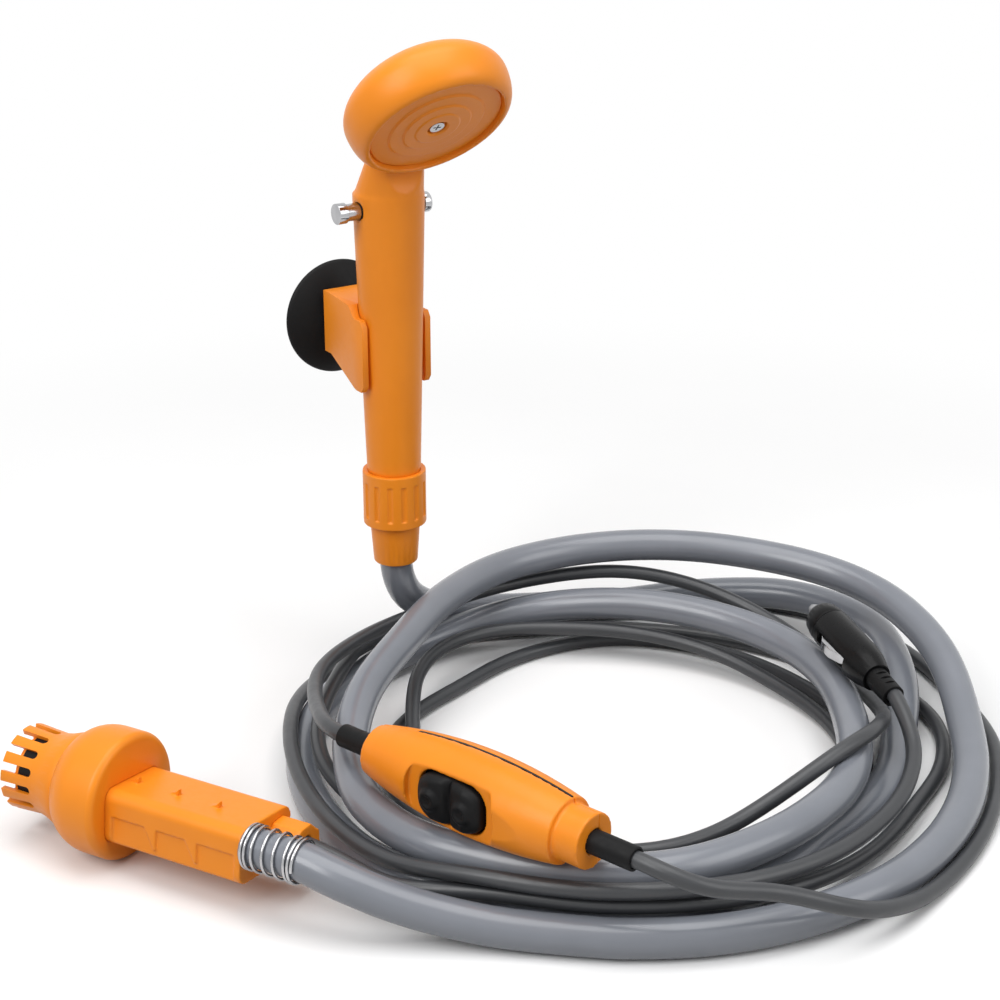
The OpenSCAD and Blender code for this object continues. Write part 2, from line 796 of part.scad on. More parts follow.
// The row of small gussets on the housing's top
module gussets() {
    gusset_len = 5;
    gusset_h = 1.4;
    gusset_w = 2.4;
    first = drum_back + 1;
    step = (housing_end - first - gusset_len) / gusset_count;
    for (i = [0:gusset_count - 1])
        translate([first + i * step, -2, housing_h / 2 - 0.2]) rotate([90, 0, 0])
            linear_extrude(gusset_w) polygon([[0, 0], [gusset_len, 0], [gusset_len, gusset_h + 0.2]]);
}

module motor_housing() {
    inner_w = housing_w - 2 * housing_wall;
    inner_h = housing_h - 2 * housing_wall;
    color(orange) difference() {
        union() {
            at_pump() rolled() bar_x(housing_w, housing_h, housing_corner, flange_back - 0.5, housing_end);
            at_pump() rolled() gussets();
            at_pump() along_x()
                translate([0, 0, flange_front]) cylinder(r = chamber_r - slide_gap, h = flange_t);
        }
        at_pump() rolled() bar_x(inner_w, inner_h, max(housing_corner - housing_wall, 0.5),
            flange_back, housing_end - housing_wall);
        at_pump() rolled() flank_recess();
        at_pump() along_x() translate([0, 0, flange_front + 1])
            ring(chamber_r + 1, chamber_r - slide_gap - ring_groove, ring_groove);
        at_motor() translate([0, 0, flange_front - 1]) cylinder(r = seal_r, h = flange_t + 2);
        at_pump() translate([0, outlet_y, outlet_z]) along_x()
            translate([0, 0, flange_front - 1])
                cylinder(r = outlet_r + seat_gap, h = housing_end - flange_front + 2);
        at_pump() translate([housing_end, gland_y, gland_z]) along_x()
            translate([0, 0, -housing_wall - 1])
                cylinder(r = gland_neck_r + seat_gap, h = housing_wall + 2);
    }
}

module housing_seal() {
    color(seal_red) at_pump() along_x()
        translate([0, 0, flange_front + 1 + ring_groove / 2])
            o_ring(chamber_r - seat_gap - ring_r, ring_r);
}

module impeller() {
    blade_r = impeller_d / 2;
    color(black) at_motor() difference() {
        union() {
            translate([0, 0, impeller_back - impeller_disc_t]) cylinder(r = blade_r, h = impeller_disc_t);
            translate([0, 0, blade_front]) cylinder(r = hub_r, h = impeller_back - blade_front);
            for (i = [0:blade_count - 1])
                rotate([0, 0, 360 * i / blade_count]) translate([hub_r - 1, -blade_t / 2, blade_front + 1])
                    cube([blade_r - hub_r, blade_t, impeller_back - blade_front - 2]);
        }
        translate([0, 0, blade_front - 1]) cylinder(r = shaft_r + seat_gap, h = impeller_back - blade_front + 2);
    }
}

module motor_shaft() {
    color(steel) at_motor() translate([0, 0, shaft_front])
        cylinder(r = shaft_r, h = motor_back + 1 - shaft_front);
}

module armature() {
    slots = 3;
    core_r = motor_r - can_wall - 2.7;
    color(steel) at_motor() translate([0, 0, motor_front + 6]) difference() {
        cylinder(r = core_r, h = motor_len - 16);
        translate([0, 0, -1]) cylinder(r = shaft_r + seat_gap, h = motor_len);
        for (i = [0:slots - 1])
            rotate([0, 0, 360 * i / slots]) translate([core_r - 2.5, -1, -1]) cube([5, 2, motor_len]);
    }
}

module commutator() {
    color(brass) at_motor() translate([0, 0, motor_back - 9]) ring(3.2, shaft_r + seat_gap, 4);
}

module shaft_seal() {
    color(seal_red) at_motor() translate([0, 0, flange_front + slide_gap])
        ring(seal_r - seat_gap, shaft_r + run_gap, flange_t - 2 * slide_gap);
}

module motor_can() {
    color(steel) at_motor() translate([0, 0, motor_front]) difference() {
        cylinder(r = motor_r, h = motor_len);
        translate([0, 0, bearing_t / 2]) cylinder(r = motor_r - can_wall, h = motor_len);
        translate([0, 0, -1]) cylinder(r = bearing_r + seat_gap, h = bearing_t);
    }
}

module magnets() {
    outer = motor_r - can_wall - seat_gap;
    color(black) at_motor() translate([0, 0, motor_front + 5]) difference() {
        ring(outer, outer - 1.8, motor_len - 14);
        for (i = [0, 1])
            rotate([0, 0, 180 * i]) translate([0, -3, -1]) cube([motor_r, 6, motor_len]);
    }
}

module front_bearing() {
    color(brass) at_motor() translate([0, 0, motor_front])
        ring(bearing_r, shaft_r + run_gap, bearing_t);
}

module rear_bearing() {
    color(brass) at_motor() translate([0, 0, motor_back - bearing_t])
        ring(bearing_r, shaft_r + run_gap, bearing_t);
}

module brush_plate() {
    color(black) at_motor() translate([0, 0, motor_back - bearing_t])
        ring(motor_r - can_wall - seat_gap, bearing_r + seat_gap, bearing_t);
}

module brushes() {
    color(steel) at_motor() for (i = [0, 1])
        rotate([0, 0, 180 * i + 90]) translate([3.2 + slide_gap, -1.2, motor_back - 8.5])
            cube([3.4, 2.4, 8.5 - bearing_t]);
}

module outlet_pipe() {
    pipe_end = housing_end + barb_len + 4;
    color(orange) at_pump() translate([0, outlet_y, outlet_z]) along_x() difference() {
        union() {
            translate([0, 0, flange_front]) cylinder(r = outlet_r, h = pipe_end - flange_front);
            for (i = [0:2])
                translate([0, 0, housing_end + 6 + i * barb_len / 4])
                    cylinder(r1 = outlet_r + barb_rise, r2 = outlet_r, h = barb_len / 4);
        }
        translate([0, 0, flange_front - 1]) cylinder(r = outlet_bore / 2, h = pipe_end + 20);
    }
}

module cable_gland() {
    half_w = gland_w / 2;
    half_h = gland_h / 2;
    color(orange) at_pump() translate([housing_end, gland_y, gland_z]) difference() {
        union() {
            translate([0, 0, -gland_drop]) rotate([90, 0, 90]) linear_extrude(gland_len) polygon([
                [-half_w, -half_h + gland_chamfer], [-half_w + gland_chamfer, -half_h],
                [half_w - gland_chamfer, -half_h], [half_w, -half_h + gland_chamfer],
                [half_w, half_h - gland_chamfer], [half_w - gland_chamfer, half_h],
                [-half_w + gland_chamfer, half_h], [-half_w, half_h - gland_chamfer]
            ]);
            translate([-housing_wall, 0, 0]) along_x() cylinder(r = gland_neck_r, h = housing_wall + 1);
        }
        translate([-housing_wall - 1, 0, 0]) along_x()
            cylinder(r = cable_r + cable_gap, h = gland_len + housing_wall + 2);
        translate([-housing_wall - 1, 0, 0]) along_x()
            cylinder(r = gland_seal_r + seat_gap, h = gland_seal_len + 1);
    }
}

module gland_seal() {
    color(black) at_pump() translate([housing_end - housing_wall, gland_y, gland_z]) along_x()
        ring(gland_seal_r, cable_r + cable_gap, gland_seal_len);
}

module hose_spring() {
    color(chrome) at_pump() translate(hose_start + [slide_gap + spring_wire / 2, 0, 0])
        cord(spring_route, spring_wire / 2);
}

// Hose and cables

module hose_lead() {
    color(hose_grey) laid_out() hose(hose_route, hose_r, hose_bore / 2, 0, coil_first);
}

module hose_coil() {
    color(hose_grey) laid_out() hose(hose_route, hose_r, hose_bore / 2, coil_first, coil_last);
}

module hose_riser() {
    color(hose_grey) laid_out() hose(hose_route, hose_r, hose_bore / 2, coil_last, len(hose_route) - 1);
}

module pump_cable() {
    color(cable_grey) laid_out() cord(pump_cable_route, cable_r);
}

module plug_cable() {
    color(cable_grey) laid_out() cord(plug_cable_route, cable_r);
}

// Handset

module handset_shell() {
    bun = concat(
        [[0, 0]],
        ellipse_arc(rim_r + rim_land, -head_belly, head_r - rim_r - rim_land, head_belly, 90, 0, 8),
        ellipse_arc(0, -head_belly, head_r, head_t - head_belly, -4, -crown_angle, 14),
        [[0, -head_belly - (head_t - head_belly) * sin(crown_angle)]]);
    color(orange) difference() {
        union() {
            difference() {
                union() {
                    at_handset() translate([0, 0, handle_low_z])
                        cylinder(r1 = handle_low_r, r2 = handle_high_r, h = handle_top_z - handle_low_z);
                    hull() {
                        at_handset() translate([0, 0, handle_top_z - neck_sink])
                            cylinder(r = handle_high_r - 0.5, h = 1, $fn = 24);
                        at_face() translate([0, -neck_drop, -neck_depth])
                            cylinder(r = neck_r, h = neck_t, $fn = 24);
                    }
                }
                at_handset() translate([-head_d / 2, scoop_y, scoop_z]) along_x()
                    cylinder(r = scoop_r, h = head_d);
            }
            at_handset() translate([0, 0, screw_end_z])
                cylinder(r = screw_end_r, h = handle_low_z - screw_end_z + 1);
            at_face() rotate_extrude() polygon(bun);
        }
        at_handset() translate([0, 0, screw_end_z - 1])
            cylinder(r = water_r, h = valve_z - 7 - screw_end_z + 1);
        at_handset() translate([0, 0, valve_z - 8]) cylinder(r = channel_r, h = channel_turn_z - valve_z + 11);
        at_handset() translate([0, 0, channel_turn_z]) rotate([channel_lean, 0, 0])
            cylinder(r = channel_r - 0.6, h = channel_len);
        at_handset() translate([-head_d / 2, 0, valve_z]) along_x() cylinder(r = pin_bore_r, h = head_d);
        at_face() translate([0, 0, -face_t]) cylinder(r = rim_r, h = face_t + head_t);
        at_face() difference() {
            translate([0, 0, -cavity_depth]) cylinder(r = cavity_r, h = cavity_depth);
            translate([0, 0, -cavity_depth - 1])
                cylinder(r = screw_boss_r, h = cavity_depth - face_t + 1);
        }
        at_face() translate([0, 0, -face_t - 10]) cylinder(r = face_screw_r + seat_gap, h = 12);
    }
}

module spray_face() {
    outer = face_r;
    front = -0.4;
    color(orange) at_face() difference() {
        rotate_extrude() polygon([
            [0, -face_t], [outer, -face_t], [outer, front - 2 * face_step],
            [face_rings[0], front - 2 * face_step], [face_rings[0], front - face_step],
            [face_rings[1], front - face_step], [face_rings[1], front], [0, front]
        ]);
        translate([0, 0, front - face_recess]) cylinder(r = face_recess_r, h = face_recess + 1);
        translate([0, 0, -face_t - 1]) cylinder(r = face_screw_r + seat_gap, h = face_t + 2);
        translate([0, 0, -face_t - 1]) ring(face_r - 1, face_r - 1 - ring_groove, 1 + ring_groove / 2);
        for (row = face_holes, i = [0:row[1] - 1])
            rotate([0, 0, 360 * i / row[1]]) translate([row[0], 0, -face_t - 1])
                cylinder(d = face_hole_d, h = face_t + 2);
    }
}

module face_seal() {
    color(seal_red) at_face() translate([0, 0, -face_t + ring_groove / 2 - ring_r + 0.02])
        ring(face_r - 1 - seat_gap, face_r - 1 - ring_groove + seat_gap, ring_r - 0.05);
}

module face_screw() {
    head_t = 1.6;
    seat = -0.4 - face_recess;
    color(chrome) at_face() difference() {
        union() {
            translate([0, 0, seat - face_t - 5]) cylinder(r = face_screw_r, h = face_t + 5.5);
            translate([0, 0, seat]) cylinder(r = face_screw_head_r, h = head_t);
        }
        for (a = [0, 90])
            rotate([0, 0, a]) translate([-2, -0.4, seat + head_t - 0.9]) cube([4, 0.8, 2]);
    }
}

module valve_pin() {
    groove_r = pin_r - 2 * ring_r + 0.02;
    color(chrome) at_valve() difference() {
        union() {
            translate([0, 0, -pin_left]) cylinder(r = pin_disc_r, h = pin_disc_t);
            translate([0, 0, -pin_left + 1]) cylinder(r = pin_r, h = pin_left - 1 + pin_right);
        }
        for (x = valve_rings)
            translate([0, 0, x - ring_groove / 2]) ring(pin_r + 1, groove_r, ring_groove);
        translate([0, 0, pin_waist_x]) ring(pin_r + 1, pin_r - 1.4, pin_waist_len);
    }
}

module pin_cap() {
    color(chrome) at_valve() translate([0, 0, pin_right]) cylinder(r = pin_disc_r, h = pin_cap_t);
}

module valve_seals() {
    color(black) at_valve() for (x = valve_rings)
        translate([0, 0, x]) o_ring(pin_r - ring_r + 0.04, ring_r);
}

module union_nut() {
    color(orange) at_handset() translate([0, 0, nut_low_z]) difference() {
        cylinder(r = nut_d / 2, h = nut_h);
        translate([0, 0, -1]) cylinder(r = tail_neck_r + slide_gap, h = nut_h);
        translate([0, 0, nut_lip]) cylinder(r = screw_end_r + slide_gap, h = nut_h);
        for (i = [0:flute_count - 1])
            rotate([0, 0, 360 * i / flute_count]) translate([nut_d / 2 + 0.7, 0, 4])
                cylinder(r = flute_r, h = nut_h - 9);
    }
}

module hose_tail() {
    color(orange) at_handset() difference() {
        union() {
            translate([0, 0, tail_z])
                cylinder(r1 = tail_d / 2, r2 = tail_high_r, h = nut_low_z - slide_gap - tail_z);
            translate([0, 0, nut_low_z - 1]) cylinder(r = tail_neck_r, h = tail_flange_z - nut_low_z + 2);
            translate([0, 0, tail_flange_z]) cylinder(r = screw_end_r - 0.1, h = tail_flange_t);
        }
        translate([0, 0, tail_z - 1]) cylinder(r = hose_r + cable_gap, h = socket_len + 1);
        translate([0, 0, tail_z]) cylinder(r = hose_bore / 2, h = tail_flange_z + tail_flange_t);
    }
}

module tail_washer() {
    color(black) at_handset() translate([0, 0, washer_z])
        ring(screw_end_r - 0.1, water_r, washer_t);
}

// Holder

module holder_clip() {
    outer = fork_r + arm_t;
    low = holder_z - arm_h / 2;
    color(orange) at_handset() difference() {
        intersection() {
            translate([0, 0, low - 10]) linear_extrude(arm_h + 30) polygon([
                [-outer, -arm_front], [-outer, 4], [-back_half, holder_reach - back_t],
                [-back_half, holder_reach], [back_half, holder_reach],
                [back_half, holder_reach - back_t], [outer, 4], [outer, -arm_front]
            ]);
            translate([outer, 0, 0]) rotate([90, 0, -90]) linear_extrude(2 * outer) polygon([
                [-holder_reach, low + back_drop], [-holder_reach + back_t, low + back_drop],
                [-2, low], [arm_front - 2, low], [arm_front, low + 3], [arm_front, holder_top - 3],
                [arm_front - 2, holder_top], [-2, holder_top], [-9, holder_top + back_rise],
                [-holder_reach, holder_top + back_rise]
            ]);
        }
        translate([0, 0, low - 1]) cylinder(r = fork_r, h = arm_h + 20);
        translate([-fork_r, -arm_front - 1, low - 1]) cube([2 * fork_r, arm_front + 1, arm_h + 20]);
        translate([0, 0, stud_z]) along_y() cylinder(r = stud_head_r + 1, h = holder_reach - back_t);
        translate([0, 0, stud_z]) along_y() cylinder(r = stud_r + run_gap, h = holder_reach + 1);
    }
}

module suction_cup() {
    color(black) at_handset() translate([0, cup_start, stud_z]) along_y() difference() {
        rotate_extrude() polygon([
            [0, 0], [cup_neck_r, 0], [cup_neck_r, cup_neck_len - 1], [cup_r * 0.6, cup_neck_len + 1],
            [cup_r - 1, cup_depth - cup_rim_t - 1], [cup_r, cup_depth - cup_rim_t], [cup_r, cup_depth],
            [cup_r - 2.5, cup_depth], [cup_r * 0.6, cup_neck_len + 1 + cup_skin],
            [0, cup_neck_len + cup_skin]
        ]);
        translate([0, 0, -1]) cylinder(r = stud_r + seat_gap, h = cup_neck_len);
    }
}

module cup_stud() {
    head_back = holder_reach - back_t - slide_gap;
    color(chrome) at_handset() translate([0, 0, stud_z]) along_y() {
        translate([0, 0, head_back - stud_head_t]) cylinder(r = stud_head_r, h = stud_head_t);
        translate([0, 0, head_back - 1])
            cylinder(r = stud_r, h = cup_start + cup_neck_len - 1.2 - head_back + 1);
    }
}

// Switch

function switch_radius(x) = switch_r - switch_bow * x * x;

// The switch's outer form, or its inside where inset is its wall
module switch_form(inset) {
    left = -switch_left + inset;
    right = switch_right - inset;
    steps = 16;
    step_x = collar_start - inset;
    along = [for (i = [0:steps]) left + (step_x - left) * i / steps];
    intersection() {
        along_x() rotate_extrude() polygon(concat(
            [[0, left]],
            [for (x = along) [switch_radius(x) - inset, x]],
            [[collar_r - inset, step_x], [collar_r - inset, right], [0, right]]));
        translate([left - 1, -switch_w / 2 + inset, -switch_floor + inset])
            cube([right - left + 2, switch_w - 2 * inset, switch_d]);
    }
}

// Holes in the ends of the switch for its strain reliefs
module relief_holes() {
    for (x = [-switch_left - 1, switch_right - switch_wall - 1])
        translate([x, 0, 0]) along_x() cylinder(r = relief_r + seat_gap, h = switch_wall + 2);
}

module seam_slot(gap) {
    translate([-strip_left - gap, seam_y - strip_t / 2 - gap, 0])
        cube([strip_left + strip_right + 2 * gap, strip_t + 2 * gap, switch_d]);
}

module at_rocker() {
    at_switch() translate([rocker_x, 0, 0]) children();
}

module switch_front_shell() {
    hole_l = rocker_l + 2 * rocker_side_gap;
    hole_h = rocker_h + 2 * rocker_edge_gap;
    pad_l = hole_l + 2 * recess_rim + 2;
    pad_h = hole_h + 2 * recess_rim + 2;
    color(orange) difference() {
        union() {
            at_switch() difference() {
                switch_form(0);
                switch_form(switch_wall);
            }
            intersection() {
                at_switch() switch_form(0.1);
                at_rocker() bar_y(pad_l, pad_h, rocker_corner, -switch_w, -pad_back);
            }
            for (x = [screw_left_x, screw_right_x])
                intersection() {
                    at_switch() switch_form(0.1);
                    at_switch() translate([x, -switch_w, 0]) along_y()
                        cylinder(r = shell_boss_r, h = switch_w + seam_y);
                }
        }
        at_switch() translate([-switch_len, seam_y, -switch_d]) cube(2 * switch_len);
        at_rocker() bar_y(hole_l + 2 * recess_rim, hole_h + 2 * recess_rim, rocker_corner + recess_rim,
            -switch_w, -recess_floor);
        at_rocker() bar_y(hole_l, hole_h, rocker_corner, -switch_w, 0);
        at_switch() relief_holes();
        at_switch() intersection() {
            seam_slot(seat_gap);
            difference() {
                switch_form(-1);
                switch_form(strip_depth);
            }
        }
        for (x = [screw_left_x, screw_right_x])
            at_switch() translate([x, screw_tip_y - 1, 0]) along_y()
                cylinder(r = shell_screw_r + seat_gap, h = switch_w);
    }
}

module switch_rear_shell() {
    color(orange) difference() {
        union() {
            at_switch() difference() {
                switch_form(0);
                switch_form(switch_wall);
            }
            for (x = [screw_left_x, screw_right_x])
                intersection() {
                    at_switch() switch_form(0.1);
                    at_switch() translate([x, seam_y, 0]) along_y()
                        cylinder(r = shell_boss_r, h = switch_w);
                }
        }
        at_switch() translate([-switch_len, seam_y - 2 * switch_len, -switch_d]) cube(2 * switch_len);
        at_switch() relief_holes();
        at_switch() intersection() {
            seam_slot(seat_gap);
            difference() {
                switch_form(-1);
                switch_form(strip_depth);
            }
        }
        for (x = [screw_left_x, screw_right_x]) {
            at_switch() translate([x, 0, 0]) along_y() cylinder(r = shell_screw_r + seat_gap, h = switch_w);
            at_switch() translate([x, screw_head_y, 0]) along_y()
                cylinder(r = shell_screw_head_r + seat_gap, h = switch_w);
        }
    }
}

module seam_strip() {
    color(black) at_switch() intersection() {
        seam_slot(0);
        difference() {
            switch_form(0.1);
            switch_form(strip_depth - seat_gap);
        }
    }
}

module rocker() {
    back = rocker_face - rocker_t;
    bump_x = rocker_l / 4;
    color(black) at_rocker() difference() {
        union() {
            bar_y(rocker_l, rocker_h, rocker_corner, -rocker_face, -back);
            for (x = [-bump_x, bump_x])
                translate([x, -rocker_face - 0.8, 0]) along_y() cylinder(r = 4.5, h = 2);
            translate([-rocker_lug_w / 2, -back - 1, -rocker_lug_h / 2])
                cube([rocker_lug_w, back - rocker_pivot + 3.4, rocker_lug_h]);
        }
        translate([-0.9, -rocker_face - 1, -rocker_h]) cube([1.8, 2.4, 2 * rocker_h]);
        for (x = [-bump_x, bump_x])
            translate([x, -rocker_face - 1.8, 0]) along_y() cylinder(r = 2.4, h = 2);
        translate([0, -rocker_pivot, -rocker_lug_h])
            cylinder(r = rocker_pin_r + run_gap, h = 2 * rocker_lug_h);
    }
}

module rocker_pin() {
    color(steel) at_rocker() translate([0, -rocker_pivot, -ear_z - ear_t + 0.2])
        cylinder(r = rocker_pin_r, h = 2 * (ear_z + ear_t - 0.2));
}

module contact_block() {
    tab = 3.5;
    color(black) at_rocker() difference() {
        union() {
            translate([-block_l / 2, -block_front + 1.2, -block_h / 2])
                cube([block_l, block_front - 1.2, block_h]);
            for (s = [-1, 1])
                translate([s * (block_l - tab) / 2 - tab / 2, -pad_back, -block_h / 2])
                    cube([tab, pad_back, block_h]);
            for (s = [-1, 1])
                translate([-3, -rocker_pivot - 1.6, s * (ear_z + ear_t / 2) - ear_t / 2])
                    cube([6, rocker_pivot + 1.6, ear_t]);
        }
        translate([0, -rocker_pivot, -switch_r]) cylinder(r = rocker_pin_r + seat_gap, h = switch_d);
    }
}

module terminals() {
    color(brass) at_rocker() for (s = [-1, 1])
        translate([s * terminal_x - 3, 0, -0.4]) cube([6, 7, 0.8]);
}

module switch_screws() {
    color(steel) at_switch() for (x = [screw_left_x, screw_right_x])
        translate([x, 0, 0]) along_y() difference() {
            union() {
                translate([0, 0, screw_tip_y])
                    cylinder(r = shell_screw_r, h = screw_head_y - screw_tip_y + 0.5);
                translate([0, 0, screw_head_y]) cylinder(r = shell_screw_head_r, h = 2);
            }
            for (a = [0, 90])
                rotate([0, 0, a]) translate([-1.6, -0.3, screw_head_y + 1.1]) cube([3.2, 0.6, 2]);
        }
}

// A strain relief: a sleeve with a flange behind the shell's wall
module relief(outer_len, grip) {
    difference() {
        union() {
            translate([0, 0, -grip - relief_flange_t])
                cylinder(r = relief_r, h = outer_len + grip + relief_flange_t);
            translate([0, 0, -grip - relief_flange_t]) cylinder(r = relief_flange_r, h = relief_flange_t);
        }
        translate([0, 0, -grip - relief_flange_t - 1]) cylinder(r = relief_bore_r, h = outer_len + 30);
    }
}

module left_relief() {
    color(black) at_switch() translate([-switch_left, 0, 0]) rotate([0, -90, 0])
        relief(relief_len, relief_grip);
}

module right_relief() {
    color(black) at_switch() translate([switch_right, 0, 0]) along_x() relief(relief_len, relief_grip);
}

// Plug

module plug_barrel() {
    slot_y = plug_r - plug_wall;
    color(black) at_plug() difference() {
        along_x() rotate_extrude() polygon([
            [plug_relief_r + seat_gap, plug_barrel_start], [plug_r - 3, plug_barrel_start],
            [plug_r - 0.8, plug_barrel_start + 8], [plug_r, plug_barrel_start + 14],
            [plug_r, cap_start - 1], [plug_r - 0.8, cap_start],
            [plug_r - plug_wall, cap_start], [plug_r - plug_wall, fuse_seat],
            [fuse_r + seat_gap, fuse_seat], [fuse_r + seat_gap, plug_relief_len + 4],
            [plug_relief_r + 2 + seat_gap, plug_relief_len + 4],
            [plug_relief_r + 2 + seat_gap, plug_relief_len],
            [plug_relief_r + seat_gap, plug_relief_len]
        ]);
        for (s = [-1, 1])
            translate([contact_start - 1, s * slot_y - 4, -contact_w / 2 - slide_gap])
                cube([contact_len + 2, 8, contact_w + 2 * slide_gap]);
    }
}

module plug_cap() {
    color(black) at_plug() along_x() difference() {
        rotate_extrude() polygon([
            [0, cap_start - 4], [plug_r - plug_wall - seat_gap, cap_start - 4],
            [plug_r - plug_wall - seat_gap, cap_start], [plug_r - 0.4, cap_start],
            [plug_r - 0.4, cap_start + 4], [cap_r, plug_len - 3], [cap_r - 2, plug_len], [0, plug_len]
        ]);
        translate([0, 0, cap_start - 5])
            cylinder(r = tip_shoulder_r + run_gap, h = plug_len - cap_start + 2);
        translate([0, 0, cap_start]) cylinder(r = tip_r + run_gap, h = cap_len + 1);
    }
}

module tip_contact() {
    back = plug_len - 3 - slide_gap;
    color(steel) at_plug() along_x() {
        translate([0, 0, back - tip_shoulder_t - tip_travel])
            cylinder(r = tip_shoulder_r, h = tip_shoulder_t + tip_travel);
        translate([0, 0, back - 1]) cylinder(r = tip_r, h = plug_len + tip_out - 3 - back + 1);
        translate([0, 0, plug_len + tip_out - 3]) cylinder(r1 = tip_r, r2 = tip_r - 1.6, h = 3);
    }
}

tip_spring_turns = 5;
tip_spring_start = cap_start - 6;
tip_spring_end = plug_len - 3 - slide_gap - tip_shoulder_t - tip_travel;
tip_spring_route =
    [for (i = [0:tip_spring_turns * curl_rings])
        let (turn = i / curl_rings, r = tip_shoulder_r - tip_spring_wire)
        [tip_spring_start + (tip_spring_end - tip_spring_start) * (0.08 + 0.84 * turn / tip_spring_turns),
         r * cos(360 * turn), r * sin(360 * turn)]];

module tip_spring() {
    color(steel) at_plug() cord(tip_spring_route, tip_spring_wire / 2);
}

module fuse() {
    color(steel) at_plug() along_x() translate([0, 0, tip_spring_start - fuse_len])
        cylinder(r = fuse_r, h = fuse_len);
}

// A bowed contact in the slot of the plug's flank
module side_contact(side) {
    seat = plug_r - plug_wall;
    color(chrome) at_plug() translate([contact_start, 0, -contact_w / 2]) linear_extrude(contact_w)
        polygon([
            [0, side * (seat - contact_t)], [contact_len, side * (seat - contact_t)],
            [contact_len, side * seat], [contact_len * 0.7, side * (plug_r + contact_bow)],
            [contact_len * 0.4, side * (plug_r + contact_bow)], [0, side * seat]
        ]);
}

module left_contact() {
    side_contact(1);
}

module right_contact() {
    side_contact(-1);
}

module plug_relief() {
    notch = 1.6;
    color(black) at_plug() along_x() difference() {
        union() {
            cylinder(r1 = cable_r + 1.6, r2 = plug_relief_r, h = plug_relief_len);
            translate([0, 0, plug_relief_len]) cylinder(r = plug_relief_r + 2, h = 2);
        }
        translate([0, 0, -1]) cylinder(r = cable_r + cable_gap, h = plug_relief_len + 4);
        for (i = [0:2], s = [-1, 1])
            translate([s * (plug_relief_r + 1), 0, 4 + 4 * i]) cube([4, 8, notch], center = true);
    }
}

strainer_basket();
foam_filter();
inlet_cover();
pump_head();
motor_housing();
housing_seal();
impeller();
motor_shaft();
armature();
commutator();
shaft_seal();
motor_can();
magnets();
front_bearing();
rear_bearing();
brush_plate();
brushes();
outlet_pipe();
cable_gland();
gland_seal();
hose_spring();
hose_lead();
hose_coil();
hose_riser();
pump_cable();
plug_cable();
handset_shell();
spray_face();
face_seal();
face_screw();
valve_pin();
pin_cap();
valve_seals();
union_nut();
hose_tail();
tail_washer();
holder_clip();
suction_cup();
cup_stud();
switch_front_shell();
switch_rear_shell();
seam_strip();
rocker();
rocker_pin();
contact_block();
terminals();
switch_screws();
left_relief();
right_relief();
plug_barrel();
plug_cap();
tip_contact();
tip_spring();
fuse();
left_contact();
right_contact();
plug_relief();
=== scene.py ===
import json
import math

import bmesh
import bpy
from mathutils import Matrix, Vector


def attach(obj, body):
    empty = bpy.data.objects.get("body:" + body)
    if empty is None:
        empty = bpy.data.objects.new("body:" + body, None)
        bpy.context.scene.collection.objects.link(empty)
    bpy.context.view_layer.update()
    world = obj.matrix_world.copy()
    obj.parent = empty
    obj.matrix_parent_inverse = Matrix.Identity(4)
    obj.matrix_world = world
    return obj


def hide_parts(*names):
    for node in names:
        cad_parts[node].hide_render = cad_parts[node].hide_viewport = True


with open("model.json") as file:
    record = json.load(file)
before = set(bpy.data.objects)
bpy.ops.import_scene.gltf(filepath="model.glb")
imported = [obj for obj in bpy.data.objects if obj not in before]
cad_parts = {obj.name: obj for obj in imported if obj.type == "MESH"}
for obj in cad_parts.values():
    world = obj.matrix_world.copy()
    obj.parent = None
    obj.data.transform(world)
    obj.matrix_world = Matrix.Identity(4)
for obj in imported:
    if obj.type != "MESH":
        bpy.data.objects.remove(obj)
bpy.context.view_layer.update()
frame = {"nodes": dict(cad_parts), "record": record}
nodes = frame["nodes"]
MM = 0.001

# Layout, in millimetres, as the solids lie
LAYOUT = Vector((-7.4, -2.8, 0))
PUMP_AT = Vector((-47.9, -87.4, 27.5))
PUMP_TURN = -29
HANDSET_AT = Vector((58.5, 91, 0))
HANDSET_TURN = 33
SWITCH_AT = Vector((103, -122, 47.2))
SWITCH_TURN = -40
PLUG_AT = Vector((286, -20, 38.5))
PLUG_TURN = 108.4
PLUG_RISE = 5.9
COIL_AT = Vector((175, -16, 0))
HOSE_R = 8
CABLE_R = 3.5


def placed(origin, turn, rise=0):
    """The matrix from an assembly's own millimetres to the shared frame, in metres."""
    turned = Matrix.Rotation(math.radians(turn), 4, "Z") @ Matrix.Rotation(math.radians(-rise), 4, "Y")
    return Matrix.Scale(MM, 4) @ Matrix.Translation(LAYOUT + origin) @ turned


PUMP = placed(PUMP_AT, PUMP_TURN)
HANDSET = placed(HANDSET_AT, HANDSET_TURN)
SWITCH = placed(SWITCH_AT, SWITCH_TURN)
PLUG = placed(PLUG_AT, PLUG_TURN, PLUG_RISE)
GROUND = placed(Vector((0, 0, 0)), 0)


def point(matrix, *place):
    return matrix @ Vector(place)


# Camera at the photograph's viewing angle
CAMERA_AT = Vector((110, -820, 448))
CAMERA_PITCH = 21.5
camera_data = bpy.data.cameras.new("camera")
camera_data.sensor_width = 36
camera_data.lens = 72
camera = bpy.data.objects.new("camera", camera_data)
camera.location = (CAMERA_AT + LAYOUT) * MM
camera.rotation_euler = (math.radians(90 - CAMERA_PITCH), 0, 0)
bpy.context.scene.collection.objects.link(camera)
bpy.context.scene.camera = camera
bpy.context.scene.view_settings.view_transform = "Standard"


# Materials
NOISE_ROUGHNESS = 0.55
NOISE_LOW, NOISE_HIGH = 0.3, 0.7


def principled(name):
    material = bpy.data.materials.new(name)
    material.use_nodes = True
    return material, material.node_tree, material.node_tree.nodes["Principled BSDF"]


